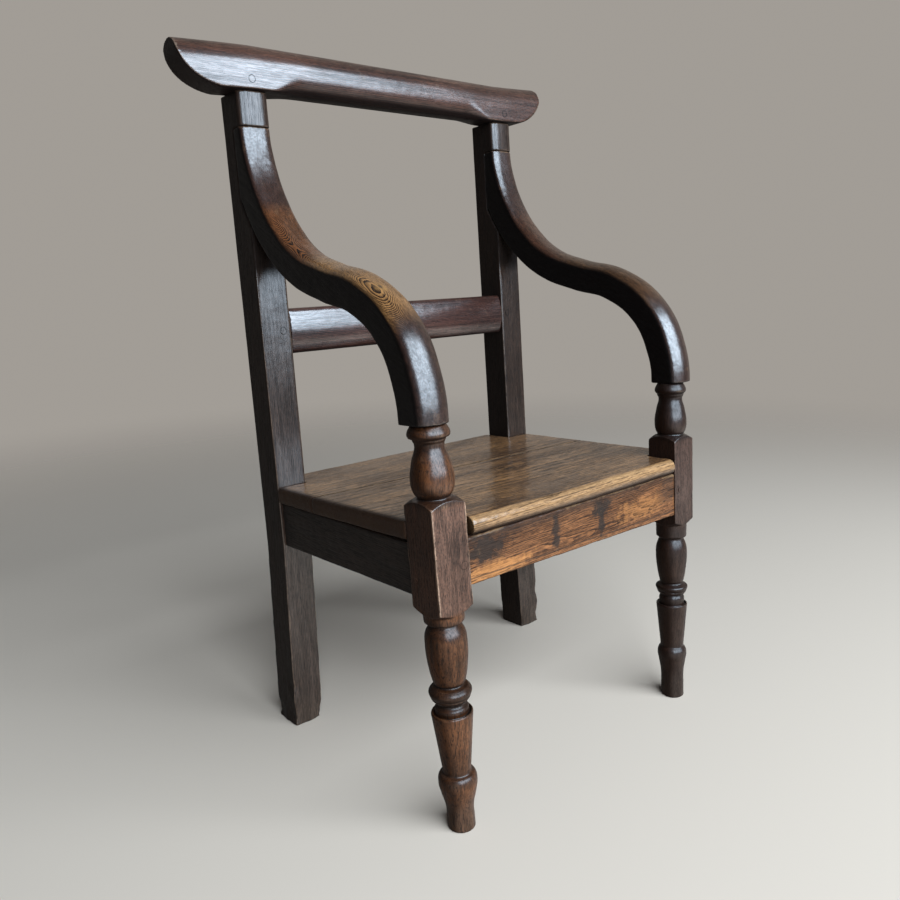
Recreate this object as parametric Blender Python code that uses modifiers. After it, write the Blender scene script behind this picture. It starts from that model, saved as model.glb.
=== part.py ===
"""Open oak armchair: a pegged frame of turned front posts, square rear posts, scroll arms and a board seat.

Every piece is drawn in the chair's own frame: X across, Y from the front posts' axis towards the back, Z up
along the posts. The whole frame leans back a little, and the feet are cut flat on the floor.
"""

import math

import bmesh
import bpy
from mathutils import Vector

# The frame
LEAN = math.radians(2.7)  # how far the whole frame leans back
FIT = 0.0003  # gap between faces that meet
STOCK = 0.051  # width of posts, blocks and arms
HALF_WIDTH = 0.2815  # centre plane to the posts' outer faces
ARRIS = 0.002  # small bevel on sawn edges

# Rear posts
REAR_FACE = 0.363  # front posts' axis to the rear posts' front faces
POST_DEPTH = 0.057
NECK_TALL = 0.052  # post above the arms' shoulders, up to the crest rail
LEG_SPLAY = 0.011  # how far the rear feet stand out sideways
POST_TENON = Vector((0.026, 0.022, 0.038))  # tenon into the crest rail

# Front posts
FRONT_SPLAY = math.radians(1.15)  # front posts lean outwards towards the arms
BLOCK_BOTTOM = 0.3145
BLOCK_TOP = 0.4495
POMMEL = 0.007  # rise of the turned shoulder from the block's corners to its faces
ARM_TENON_RADIUS = 0.011
ARM_TENON_LENGTH = 0.034
TURNED_RADIUS = 0.0267  # widest turning
NECK_RADIUS = 0.0180  # narrowest turning
TURNING_STEPS = 24

# Seat
SEAT_TOP = 0.423
SEAT_THICK = 0.025
SEAT_JOINT = 0.238  # where the two boards meet
SEAT_SIDE_OVERHANG = 0.002
SEAT_BACK_OVERHANG = 0.006
NOSING = 0.0035  # front edge in front of the blocks
NOTCH_GAP = 0.010  # open gap beside the front blocks
BOARD_GAP = 0.001  # boards to posts

# Seat rails
RAIL_TALL = 0.070
RAIL_THICK = 0.024
FRONT_RAIL_SETBACK = 0.002
SIDE_RAIL_SETBACK = 0.005
BACK_RAIL_SETBACK = 0.006
TENON_THICK = 0.010
TENON_LENGTH = 0.028
SIDE_TENON_FRONT = 0.020
TENON_SHOULDER = 0.009  # rail above and below its tenon

# Mid rail
MID_RAIL_BOTTOM = 0.632
MID_RAIL_TALL = 0.071
MID_RAIL_THICK = 0.030
MID_RAIL_EDGE = 0.010  # how far the half-round front falls back at its edges

# Crest rail
CREST_TALL = 0.069
CREST_HALF_LENGTH = 0.360
CREST_END = 0.077  # length of each curved end
CREST_END_RISE = 0.056
CREST_PROUD = 0.005  # in front of the rear posts
CREST_SHORT = 0.012  # short of the rear posts' back faces
CREST_FLAT = 0.031  # height of the flat front under the rounded top
CREST_BACK_ROUND = 0.018
CREST_ROLL = 0.024  # rounding of the lower front edge between the posts
CREST_HOLLOW = Vector((0.019, 0.006))  # chamfer of the lower back edge between the posts, depth and height
CREST_STOP = 0.030  # length over which the rounding and the chamfer run out

# Arms
ARM_REST = 0.5475  # underside of the arm's front end
ARM_SHOULDER = 0.972  # top of the arm's rear end, under the post's shoulder
ARM_SIDE = 0.0364  # height of the flat sides
ARM_CROWN = 0.0155  # rise of the rounded top, which the rear post's neck carries on
ARM_CHAMFER = 0.003
ARM_HOUSING = 0.026  # depth of the housing in the rear post
ARM_FRONT = 0.0063  # spine behind the front post's axis, at the front end
ARM_OUT = 0.0042  # how far the arm's front end stands out sideways
# The spine's bends, as shares of its run and its rise, from the front end to the shoulder
ARM_BENDS = (
    (0.018, 0.125),
    (0.0925, 0.261),
    (0.251, 0.367),
    (0.443, 0.415),
    (0.636, 0.479),
    (0.785, 0.579),
    (0.903, 0.715),
    (0.972, 0.854),
)

# Pegs and nails
PEG_RADIUS = 0.004
PEG_PROUD = 0.0008
PEG_LENGTH = 0.042
SIDE_PEG_LENGTH = 0.025
PEG_INSET = 0.010  # peg to the shoulder of the tenon that it holds
MID_PEG_INSET = 0.0145
PEG_RAISED = 0.006  # front pegs above the middle of the rail
NAIL_HEAD = 0.003
NAIL_SHANK = 0.0016
NAIL_LENGTH = 0.038
NAIL_SUNK = 0.0004
NAIL_SIDE_FRONT = (0.070, 0.217)  # depths of the nails along the front board's ends
NAIL_SIDE_REAR = (0.300,)
NAIL_INSET = 0.012  # front row of nails behind the front rail's face
NAIL_ROW = 0.160  # outer nails of the front and back rows, from the centre plane

# Worked out from the above
INNER = HALF_WIDTH - STOCK
POST_MIDDLE = HALF_WIDTH - STOCK / 2
REAR_BACK = REAR_FACE + POST_DEPTH
RAIL_TOP = SEAT_TOP - SEAT_THICK - FIT
RAIL_BOTTOM = RAIL_TOP - RAIL_TALL
RAIL_MIDDLE = (RAIL_TOP + RAIL_BOTTOM) / 2
BACK_RAIL_FACE = REAR_BACK - BACK_RAIL_SETBACK - RAIL_THICK
BLOCK_FACE = -STOCK / 2
POST_TOP = ARM_SHOULDER + NECK_TALL  # shoulder under the crest rail
CREST_FACE = REAR_FACE - CREST_PROUD
CREST_BACK = REAR_BACK - CREST_SHORT
ARM_RUN = REAR_FACE + ARM_CROWN + ARM_SIDE / 2  # spine at the shoulder: the arm is flush with the post
REACH = REAR_BACK + CREST_PROUD + STOCK  # a cutter's free side, well past the wood
SUNK = 0.008  # how far a tenon's solid runs back into its rail

SIDES = (("left", -1), ("right", 1))
DARK_OAK = (0.055, 0.030, 0.020)
BROWN_OAK = (0.105, 0.055, 0.032)
SEAT_OAK = (0.190, 0.115, 0.062)
RAIL_OAK = (0.160, 0.075, 0.030)
PEG_OAK = (0.070, 0.042, 0.028)
IRON = (0.045, 0.040, 0.038)


def clear_scene():
    for item in list(bpy.data.objects):
        bpy.data.objects.remove(item)


def new_collection(name):
    collection = bpy.data.collections.new(name)
    bpy.context.scene.collection.children.link(collection)
    return collection


def new_empty(name, parent=None):
    empty = bpy.data.objects.new(name, None)
    bpy.context.scene.collection.objects.link(empty)
    empty.parent = parent
    return empty


clear_scene()
PARTS = new_collection("oak_armchair")
CUTTERS = new_collection("cutters")
CHAIR = new_empty("chair")
FRAME = new_empty("leaning_frame", CHAIR)
FRAME.rotation_euler.x = -LEAN


def wood(name, colour, roughness=0.42, metallic=0.0):
    """The material of a piece, made once for each name."""
    if name in bpy.data.materials:
        return bpy.data.materials[name]
    material = bpy.data.materials.new(name)
    material.use_nodes = True
    shader = material.node_tree.nodes["Principled BSDF"]
    shader.inputs["Base Color"].default_value = (*colour, 1.0)
    shader.inputs["Roughness"].default_value = roughness
    shader.inputs["Metallic"].default_value = metallic
    return material


def add(name, mesh, parent=FRAME):
    """A new object of the chair. It is a piece until it is made a cutter."""
    item = bpy.data.objects.new(name, mesh)
    PARTS.objects.link(item)
    item.parent = parent
    return item


def as_cutter(item):
    PARTS.objects.unlink(item)
    CUTTERS.objects.link(item)
    item.hide_render = True
    item.display_type = "WIRE"
    return item


def finish(item, colour_name, colour, angle=40, roughness=0.42, metallic=0.0):
    item.data.materials.clear()
    item.data.materials.append(wood(colour_name, colour, roughness, metallic))
    item.data.shade_smooth()
    item.data.set_sharp_from_angle(angle=math.radians(angle))
    return item


def boolean(item, tool, operation="DIFFERENCE"):
    modifier = item.modifiers.new(f"{operation.lower()} {tool.name}", "BOOLEAN")
    modifier.operation = operation
    modifier.object = tool
    modifier.solver = "EXACT"


def bevel(item, width, segments=1, angle=35):
    modifier = item.modifiers.new("arris", "BEVEL")
    modifier.width = width
    modifier.segments = segments
    modifier.limit_method = "ANGLE"
    modifier.angle_limit = math.radians(angle)
    return modifier


def box(name, low, high):
    """A box between two corners of the chair's frame."""
    low, high = Vector(low), Vector(high)
    mesh = bpy.data.meshes.new(name)
    shape = bmesh.new()
    bmesh.ops.create_cube(shape, size=1.0)
    bmesh.ops.scale(shape, verts=shape.verts, vec=high - low)
    shape.to_mesh(mesh)
    shape.free()
    item = add(name, mesh)
    item.location = (low + high) / 2
    return item


def grown(low, high, margin=FIT):
    """The same box with a margin all round, for the hole that holds it."""
    margin = Vector((margin, margin, margin))
    return Vector(low) - margin, Vector(high) + margin


def rod(name, start, direction, length, radius, sides=12):
    """A round rod from a point along X or Y."""
    mesh = bpy.data.meshes.new(name)
    shape = bmesh.new()
    bmesh.ops.create_cone(shape, cap_ends=True, segments=sides, radius1=radius, radius2=radius, depth=length)
    shape.to_mesh(mesh)
    shape.free()
    item = add(name, mesh)
    direction = Vector(direction)
    item.rotation_euler = Vector((0, 0, 1)).rotation_difference(direction).to_euler()
    item.location = Vector(start) + direction * (length / 2)
    return item


def mesh_from_curve(curve_item):
    """The curve made a mesh, with its caps welded, each one face, and its faces pointing out."""
    graph = bpy.context.evaluated_depsgraph_get()
    mesh = bpy.data.meshes.new_from_object(curve_item.evaluated_get(graph))
    shape = bmesh.new()
    shape.from_mesh(mesh)
    bmesh.ops.remove_doubles(shape, verts=shape.verts, dist=0.00001)
    bmesh.ops.dissolve_limit(shape, angle_limit=math.radians(0.2), verts=shape.verts, edges=shape.edges)
    bmesh.ops.recalc_face_normals(shape, faces=shape.faces)
    shape.to_mesh(mesh)
    shape.free()
    item = add(curve_item.name, mesh)
    item.matrix_local = curve_item.matrix_local
    name = curve_item.name
    bpy.data.objects.remove(curve_item)
    item.name = name
    return item


def new_curve(name, points, closed):
    curve = bpy.data.curves.new(name, "CURVE")
    curve.dimensions = "2D"
    spline = curve.splines.new("POLY")
    spline.points.add(len(points) - 1)
    for knot, (x, y) in zip(spline.points, points):
        knot.co = (x, y, 0, 1)
    spline.use_cyclic_u = closed
    return curve


# How a flat outline is turned into the chair's frame, by the plane that it is drawn in
PLANE_TURN = {
    "XY": (0, 0, 0),
    "XZ": (math.pi / 2, 0, 0),
    "YZ": (math.pi / 2, 0, math.pi / 2),
}


def prism(name, plane, points, low, high):
    """A flat outline in a plane of the frame, made solid from low to high along the third axis."""
    curve = new_curve(name, points, closed=True)
    curve.fill_mode = "BOTH"
    curve.extrude = (high - low) / 2
    item = add(name, curve)
    item.rotation_euler = PLANE_TURN[plane]
    third = {"XY": 2, "XZ": 1, "YZ": 0}[plane]
    item.location[third] = (low + high) / 2
    return mesh_from_curve(item)


def front_axis(height):
    """A front post's axis from the centre plane, at a height."""
    return POST_MIDDLE + (height - SEAT_TOP) * math.tan(FRONT_SPLAY)


def front_inner(height):
    """The inner face of a front block at a height."""
    return front_axis(height) - STOCK / 2 / math.cos(FRONT_SPLAY)


def mirrored(low, high, side):
    """A box of the right side moved to a side, with its corners in order."""
    low, high = Vector(low), Vector(high)
    if side < 0:
        low.x, high.x = -high.x, -low.x
    return low, high


def pegged(name, start, direction, length, pieces):
    """A peg in its hole, which is bored through each of the pieces."""
    direction = Vector(direction)
    start = Vector(start) - direction * PEG_PROUD
    hole = rod(f"{name}_hole", start - direction * FIT, direction, length + 2 * FIT, PEG_RADIUS + FIT)
    as_cutter(hole)
    for piece in pieces:
        boolean(piece, hole)
    return finish(rod(name, start, direction, length, PEG_RADIUS), "peg_oak", PEG_OAK)


def floor_cutter():
    """What lies under the floor. It doesn't lean."""
    mesh = bpy.data.meshes.new("floor")
    shape = bmesh.new()
    bmesh.ops.create_cube(shape, size=1.0)
    shape.to_mesh(mesh)
    shape.free()
    item = add("floor", mesh, parent=CHAIR)
    for corner in mesh.vertices:
        corner.co *= 2 * (REAR_BACK + HALF_WIDTH)
    item.location.z = -(REAR_BACK + HALF_WIDTH)
    return as_cutter(item)


def tenon(piece, name, low, high, holder):
    """A tenon joined to its rail, with a mortise for it in the holder."""
    boolean(piece, as_cutter(box(f"{name}_tenon", low, high)), "UNION")
    boolean(holder, as_cutter(box(f"{name}_mortise", *grown(low, high))))


def crown_arc(half, rise, steps=12):
    """The rounded top of the arms and the necks: across and up, over one half-ellipse."""
    turns = [math.pi * step / steps for step in range(steps + 1)]
    return [(-half * math.cos(turn), rise * math.sin(turn)) for turn in turns]


def neck_corners(name, side):
    """What is rounded off the front of a rear post above the arm's shoulder."""
    half, middle = STOCK / 2, side * POST_MIDDLE
    outline = [(middle + across, REAR_FACE + ARM_CROWN - up) for across, up in crown_arc(half, ARM_CROWN)]
    outline += [(middle + STOCK, REAR_FACE + ARM_CROWN), (middle + STOCK, REAR_FACE - STOCK)]
    outline += [(middle - STOCK, REAR_FACE - STOCK), (middle - STOCK, REAR_FACE + ARM_CROWN)]
    return prism(name, "XY", outline, ARM_SHOULDER - FIT, POST_TOP + REACH)


def rear_post(name, side):
    """A straight post, with its leg standing out a little under the seat rails."""
    slope = LEG_SPLAY / RAIL_BOTTOM
    drop = RAIL_BOTTOM + REAR_BACK * math.tan(LEAN)
    kick = slope * drop
    outline = [
        (side * HALF_WIDTH, POST_TOP),
        (side * HALF_WIDTH, RAIL_BOTTOM),
        (side * (HALF_WIDTH + kick), RAIL_BOTTOM - drop),
        (side * (INNER + kick), RAIL_BOTTOM - drop),
        (side * INNER, RAIL_BOTTOM),
        (side * INNER, POST_TOP),
    ]
    post = prism(name, "XZ", outline, REAR_FACE, REAR_BACK)
    bevel(post, ARRIS)
    boolean(post, as_cutter(neck_corners(f"{name}_neck", side)))
    middle = Vector((side * POST_MIDDLE, (CREST_FACE + CREST_BACK) / 2, POST_TOP))
    half = Vector((POST_TENON.x / 2, POST_TENON.y / 2, 0))
    low = middle - half - Vector((0, 0, SUNK))
    high = middle + half + Vector((0, 0, POST_TENON.z))
    boolean(post, as_cutter(box(f"{name}_tenon", low, high)), "UNION")
    return finish(post, "dark_oak", DARK_OAK), (low, high)


def turned_profile():
    """The front post's outline from its tenon down: radius, height, and whether the corner is sharp."""
    wide, neck = TURNED_RADIUS, NECK_RADIUS
    corner = STOCK / math.sqrt(2) + 0.0005
    base = 0.0195  # where a vase or disc meets the block
    ring = ARM_REST - FIT - wide * math.tan(FRONT_SPLAY)
    top = ARM_REST + ARM_TENON_LENGTH
    leg = BLOCK_BOTTOM  # the leg's mouldings hang from the block
    vase = BLOCK_TOP
    return [
        (0.0, top, True),
        (ARM_TENON_RADIUS, top, True),
        (ARM_TENON_RADIUS, ring, True),
        (wide * 0.84, ring, True),
        (wide, ring - 0.008, False),
        (wide * 0.86, ring - 0.0155, True),
        (neck, ring - 0.019, True),
        (neck, ring - 0.027, False),
        (wide * 0.93, vase + 0.042, False),
        (wide, vase + 0.029, False),
        (wide * 0.93, vase + 0.017, False),
        (base, vase + 0.0085, True),
        (STOCK / 2, vase + POMMEL, True),
        (corner, vase, True),
        (corner, leg, True),
        (STOCK / 2, leg - POMMEL, True),
        (STOCK * 0.495, leg - POMMEL - 0.002, True),
        (STOCK * 0.49, leg - 0.025, True),
        (base, leg - 0.029, True),
        (base, leg - 0.032, True),
        (wide * 0.95, leg - 0.039, False),
        (wide, leg - 0.052, False),
        (neck * 1.03, leg - 0.105, True),
        (wide * 0.93, leg - 0.109, False),
        (wide, leg - 0.116, False),
        (wide * 0.93, leg - 0.122, False),
        (neck, leg - 0.131, True),
        (neck * 0.92, leg - 0.136, True),
        (wide * 0.88, leg - 0.1385, True),
        (wide, leg - 0.143, False),
        (wide * 0.98, leg - 0.150, True),
        (neck, leg - 0.226, True),
        (wide * 0.92, leg - 0.233, False),
        (wide, leg - 0.242, False),
        (wide * 0.92, leg - 0.253, False),
        (neck * 1.05, leg - 0.272, False),
        (neck * 1.02, leg - 0.300, False),
        (neck * 1.02, -STOCK, True),
        (0.0, -STOCK, True),
    ]


def front_post(name, side):
    """Leg, block and arm support, turned in one piece from square stock."""
    curve = bpy.data.curves.new(f"{name}_profile", "CURVE")
    curve.dimensions = "2D"
    curve.resolution_u = 2
    knots = turned_profile()
    spline = curve.splines.new("BEZIER")
    spline.bezier_points.add(len(knots) - 1)
    for knot, (radius, height, sharp) in zip(spline.bezier_points, knots):
        knot.co = (radius, height, 0)
        knot.handle_left_type = "VECTOR" if sharp else "AUTO"
        knot.handle_right_type = knot.handle_left_type
    profile = add(f"{name}_profile", curve)
    graph = bpy.context.evaluated_depsgraph_get()
    mesh = bpy.data.meshes.new_from_object(profile.evaluated_get(graph))
    bpy.data.objects.remove(profile)
    for point in mesh.vertices:
        point.co = (max(point.co.x, 0.0), 0.0, point.co.y)
    post = add(name, mesh)
    post.location.x = side * front_axis(0.0)
    post.rotation_euler.y = side * FRONT_SPLAY
    screw = post.modifiers.new("turning", "SCREW")
    screw.steps = TURNING_STEPS
    screw.render_steps = TURNING_STEPS
    screw.use_merge_vertices = True
    screw.merge_threshold = 0.00001
    half, low, high = STOCK / 2, BLOCK_BOTTOM - POMMEL * 1.1, BLOCK_TOP + POMMEL * 1.1
    waste = box(f"{name}_waste", (-STOCK, -STOCK, low), (STOCK, STOCK, high))
    square = box(f"{name}_square", (-half, -half, low - STOCK), (half, half, high + STOCK))
    for item in (waste, square):
        item.rotation_euler = post.rotation_euler
        item.location = post.location + item.rotation_euler.to_matrix() @ item.location
    boolean(waste, as_cutter(square))
    boolean(post, as_cutter(waste))
    return finish(post, "brown_oak", BROWN_OAK)


def crest_section(share):
    """The crest rail's section, depth and height. The share is 0 over the posts and 1 between them."""
    front, back = CREST_FACE, CREST_BACK
    low, top = POST_TOP + FIT, POST_TOP + FIT + CREST_TALL
    ridge = front + (back - front) * 0.58
    roll = ARRIS + (CREST_ROLL - ARRIS) * share
    flat = low + CREST_FLAT
    points = [(back, low + CREST_HOLLOW.y * share), (back - CREST_HOLLOW.x, low)]
    for step in range(6):
        turn = math.pi / 2 * step / 5
        points.append((front + roll * (1 - math.sin(turn)), low + roll * (1 - math.cos(turn))))
    for step in range(1, 8):
        turn = math.pi / 2 * step / 7
        points.append((ridge - (ridge - front) * math.cos(turn), flat + (top - flat) * math.sin(turn)))
    for step in range(1, 5):
        turn = math.pi / 2 * step / 4
        depth = ridge + (back - ridge) * math.sin(turn)
        points.append((depth, top - CREST_BACK_ROUND * (1 - math.cos(turn))))
    return points


def crest_rail():
    """A bolster, square under its front over the posts and rolled between them, with boat-shaped ends."""
    stop_out = INNER - 0.004
    stop_in = stop_out - CREST_STOP
    half = [CREST_HALF_LENGTH + SUNK]
    half += [stop_in + CREST_STOP * share for share in (1.0, 0.8, 0.6, 0.4, 0.2, 0.0)]
    stations = [-x for x in half] + half[::-1]
    shape = bmesh.new()
    rings = []
    for x in stations:
        share = min(max((stop_out - abs(x)) / CREST_STOP, 0.0), 1.0)
        section = crest_section(math.sin(share * math.pi / 2))
        rings.append([shape.verts.new((x, depth, height)) for depth, height in section])
    count = len(rings[0])
    for first, second in zip(rings, rings[1:]):
        for i in range(count):
            k = (i + 1) % count
            shape.faces.new((first[i], first[k], second[k], second[i]))
    shape.faces.new(rings[0])
    shape.faces.new(rings[-1][::-1])
    bmesh.ops.recalc_face_normals(shape, faces=shape.faces)
    mesh = bpy.data.meshes.new("crest_rail")
    shape.to_mesh(mesh)
    shape.free()
    rail = add("crest_rail", mesh)
    low = POST_TOP + FIT - 0.0012
    tip = POST_TOP + CREST_TALL
    right = [(CREST_HALF_LENGTH, tip + REACH)]
    for step in range(9):
        turn = math.pi / 2 * step / 8
        across = CREST_HALF_LENGTH - CREST_END * (1 - math.cos(turn))
        right.append((across, low + CREST_END_RISE * (1 - math.sin(turn))))
    left = [(-x, z) for x, z in reversed(right)]
    outline = prism("crest_outline", "XZ", right + left, REAR_FACE - REACH, REAR_BACK + REACH)
    boolean(rail, as_cutter(outline), "INTERSECT")
    return finish(rail, "dark_oak", DARK_OAK)


def mid_rail(posts):
    """A rail with a half-round front, flush with the posts, tenoned into them."""
    top = MID_RAIL_BOTTOM + MID_RAIL_TALL
    middle = (MID_RAIL_BOTTOM + top) / 2
    back = REAR_FACE + MID_RAIL_THICK
    outline = [(back, top), (back, MID_RAIL_BOTTOM)]
    for step in range(11):
        turn = math.pi * step / 10
        depth = REAR_FACE + MID_RAIL_EDGE * (1 - math.sin(turn))
        outline.append((depth, middle - MID_RAIL_TALL / 2 * math.cos(turn)))
    rail = prism("mid_rail", "YZ", outline, -INNER + FIT, INNER - FIT)
    centre = back - TENON_THICK
    for name, side in SIDES:
        low = (INNER - FIT - SUNK, centre - TENON_THICK / 2, MID_RAIL_BOTTOM + TENON_SHOULDER)
        high = (INNER + TENON_LENGTH, centre + TENON_THICK / 2, top - TENON_SHOULDER)
        tenon(rail, f"mid_rail_{name}", *mirrored(low, high, side), posts[name])
    return finish(rail, "brown_oak", BROWN_OAK)


def front_rail(posts):
    """The rail under the seat's nosing, its ends cut to the slope of the front posts."""
    face = BLOCK_FACE + FRONT_RAIL_SETBACK
    foot, head = front_inner(RAIL_BOTTOM) - FIT, front_inner(RAIL_TOP) - FIT
    outline = [(-head, RAIL_TOP), (-foot, RAIL_BOTTOM), (foot, RAIL_BOTTOM), (head, RAIL_TOP)]
    rail = prism("front_seat_rail", "XZ", outline, face, face + RAIL_THICK)
    bevel(rail, ARRIS)
    centre = face + RAIL_THICK / 2
    for name, side in SIDES:
        low = (foot - SUNK, centre - TENON_THICK / 2, RAIL_BOTTOM + TENON_SHOULDER)
        high = (foot + TENON_LENGTH, centre + TENON_THICK / 2, RAIL_TOP - TENON_SHOULDER)
        tenon(rail, f"front_rail_{name}", *mirrored(low, high, side), posts[name])
    return finish(rail, "rail_oak", RAIL_OAK)


def back_rail(posts):
    rail = box("back_seat_rail", (-INNER + FIT, BACK_RAIL_FACE, RAIL_BOTTOM),
               (INNER - FIT, BACK_RAIL_FACE + RAIL_THICK, RAIL_TOP))
    bevel(rail, ARRIS)
    centre = BACK_RAIL_FACE + RAIL_THICK / 2
    for name, side in SIDES:
        low = (INNER - FIT - SUNK, centre - TENON_THICK / 2, RAIL_BOTTOM + TENON_SHOULDER)
        high = (INNER + TENON_LENGTH, centre + TENON_THICK / 2, RAIL_TOP - TENON_SHOULDER)
        tenon(rail, f"back_rail_{name}", *mirrored(low, high, side), posts[name])
    return finish(rail, "dark_oak", DARK_OAK)


def side_rail(name, side, front, rear):
    """A rail from the back of a front block to the front of a rear post."""
    outer = HALF_WIDTH - SIDE_RAIL_SETBACK
    low = (outer - RAIL_THICK, STOCK / 2 + FIT, RAIL_BOTTOM)
    high = (outer, REAR_FACE - FIT, RAIL_TOP)
    rail = box(f"side_seat_rail_{name}", *mirrored(low, high, side))
    bevel(rail, ARRIS)
    centre = outer - RAIL_THICK / 2
    low = Vector((centre - TENON_THICK / 2, STOCK / 2 - SIDE_TENON_FRONT, RAIL_BOTTOM + TENON_SHOULDER))
    high = Vector((centre + TENON_THICK / 2, STOCK / 2 + SUNK, RAIL_TOP - TENON_SHOULDER))
    tenon(rail, f"side_rail_front_{name}", *mirrored(low, high, side), front)
    low.y, high.y = REAR_FACE - SUNK, REAR_FACE + TENON_LENGTH
    tenon(rail, f"side_rail_rear_{name}", *mirrored(low, high, side), rear)
    return finish(rail, "dark_oak", DARK_OAK)


def seat_board(name, front, back, nosing):
    """A board that runs side to side, its top edges worn round, with or without a rolled front edge."""
    half = HALF_WIDTH + SEAT_SIDE_OVERHANG
    board = box(name, (-half, front, SEAT_TOP - SEAT_THICK), (half, back, SEAT_TOP))
    shape = bmesh.new()
    shape.from_mesh(board.data)
    weight = shape.edges.layers.float.new("bevel_weight_edge")
    for edge in shape.edges:
        first, second = (v.co for v in edge.verts)
        middle = (first + second) / 2
        if nosing and middle.x == 0 and middle.y < 0:
            edge[weight] = 1.0
        elif middle.y == 0 and middle.z > 0:
            edge[weight] = 0.35
    shape.to_mesh(board.data)
    shape.free()
    modifier = board.modifiers.new("worn edges", "BEVEL")
    modifier.limit_method = "WEIGHT"
    modifier.width = SEAT_THICK * 0.44
    modifier.segments = 4
    return finish(board, "seat_oak", SEAT_OAK)


def seat_boards():
    """The seat's two boards, notched round the posts."""
    front = seat_board("seat_board_front", BLOCK_FACE - NOSING, SEAT_JOINT - FIT, True)
    rear = seat_board("seat_board_rear", SEAT_JOINT, REAR_BACK + SEAT_BACK_OVERHANG, False)
    for name, side in SIDES:
        low = (INNER - NOTCH_GAP, -REACH, 0)
        high = (REACH, STOCK / 2 + BOARD_GAP, ARM_REST)
        boolean(front, as_cutter(box(f"front_notch_{name}", *mirrored(low, high, side))))
        low = (INNER - BOARD_GAP, REAR_FACE - BOARD_GAP, 0)
        high = (REACH, REACH * 2, ARM_REST)
        boolean(rear, as_cutter(box(f"rear_notch_{name}", *mirrored(low, high, side))))
    return front, rear


def arm_section():
    """The arm's section: towards its underside, and across. The top is a half-ellipse over two flat sides."""
    half, side, cut = STOCK / 2, ARM_SIDE / 2, ARM_CHAMFER
    crown = [(-side - up, across) for across, up in crown_arc(half, ARM_CROWN)]
    return crown + [(side - cut, half), (side, half - cut), (side, cut - half), (side - cut, -half)]


def housing_section():
    """The section of the arm's housing, which takes the whole front of the rear post."""
    half, side = STOCK, ARM_SIDE / 2 + FIT
    return [(-side - STOCK, -half), (-side - STOCK, half), (side, half), (side, -half)]


def arm_sweep(name, side, outline, margin):
    """A solid swept along the arm's S-shaped spine and cut flat where it lies in the rear post."""
    section = add(f"{name}_section", new_curve(f"{name}_section", outline, closed=True))
    run = ARM_RUN - ARM_FRONT
    rise = ARM_SHOULDER - ARM_REST
    bends = [(ARM_FRONT + run * along, ARM_REST + rise * up) for along, up in ARM_BENDS]
    knots = [(ARM_FRONT, ARM_REST)] + bends + [(ARM_RUN, ARM_SHOULDER - FIT + margin)]
    path = bpy.data.curves.new(name, "CURVE")
    path.dimensions = "2D"
    path.resolution_u = 4
    spline = path.splines.new("BEZIER")
    spline.bezier_points.add(len(knots) - 1)
    for knot, (depth, height) in zip(spline.bezier_points, knots):
        knot.co = (depth, height, 0)
        knot.handle_left_type = "AUTO"
        knot.handle_right_type = "AUTO"
    for knot in (spline.bezier_points[0], spline.bezier_points[-1]):
        knot.handle_left_type = "FREE"
        knot.handle_right_type = "FREE"
        reach = Vector((0, rise * 0.05, 0))
        knot.handle_left = knot.co - reach
        knot.handle_right = knot.co + reach
    path.bevel_mode = "OBJECT"
    path.bevel_object = section
    path.use_fill_caps = True
    item = add(name, path)
    swing = side * math.atan(ARM_OUT / run)
    item.rotation_euler = PLANE_TURN["YZ"]
    item.rotation_euler.z += swing
    item.location.x = side * POST_MIDDLE + ARM_RUN * math.sin(swing)
    item.location.y = ARM_RUN * (1 - math.cos(swing))
    item = mesh_from_curve(item)
    bpy.data.objects.remove(section)
    back = REAR_FACE + ARM_HOUSING + margin
    behind = as_cutter(box(f"{name}_back", (-REACH, back, -REACH), (REACH, back + REACH, POST_TOP + REACH)))
    boolean(item, behind)
    return item


def arm(name, side, front, rear):
    """An arm let into the front of its rear post and standing on the round tenon of its front post."""
    boolean(rear, as_cutter(arm_sweep(f"{name}_housing", side, housing_section(), FIT)))
    item = arm_sweep(name, side, arm_section(), 0.0)
    hole_low = ARM_REST - STOCK / 2
    height = ARM_REST + ARM_TENON_LENGTH + FIT - hole_low
    hole = rod(f"{name}_hole", (0, 0, 0), (0, 0, 1), height, ARM_TENON_RADIUS + FIT, TURNING_STEPS)
    tilt = Vector((side * math.sin(FRONT_SPLAY), 0, math.cos(FRONT_SPLAY)))
    foot = Vector((front.location.x, 0, 0))
    hole.location = foot + tilt * (hole_low + height / 2)
    hole.rotation_euler = front.rotation_euler
    boolean(item, as_cutter(hole))
    return finish(item, "brown_oak", BROWN_OAK)


def nail_mesh(name, margin):
    """A nail's turned outline, from the head down. With a margin it is the nail's hole."""
    top = REACH if margin else 0.0
    outline = [
        (0.0, top),
        (NAIL_HEAD + margin, top),
        (NAIL_HEAD + margin, -NAIL_HEAD * 0.5 - margin),
        (NAIL_SHANK + margin, -NAIL_HEAD - margin),
        (NAIL_SHANK * 0.7 + margin, -NAIL_LENGTH * 0.92),
        (0.0, -NAIL_LENGTH - margin),
    ]
    mesh = bpy.data.meshes.new(name)
    mesh.from_pydata([(r, 0, z) for r, z in outline], [(i, i + 1) for i in range(len(outline) - 1)], [])
    item = add(name, mesh)
    screw = item.modifiers.new("turning", "SCREW")
    screw.steps = 8
    screw.render_steps = 8
    screw.use_merge_vertices = True
    screw.merge_threshold = 0.00001
    return item


def nailed(name, x, y, pieces):
    """A cut nail through a seat board into the rail below."""
    hole = as_cutter(nail_mesh(f"{name}_hole", FIT))
    nail = nail_mesh(name, 0.0)
    for item in (hole, nail):
        item.location = (x, y, SEAT_TOP - NAIL_SUNK)
    for piece in pieces:
        boolean(piece, hole)
    return finish(nail, "iron", IRON, roughness=0.6, metallic=0.8)


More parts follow.
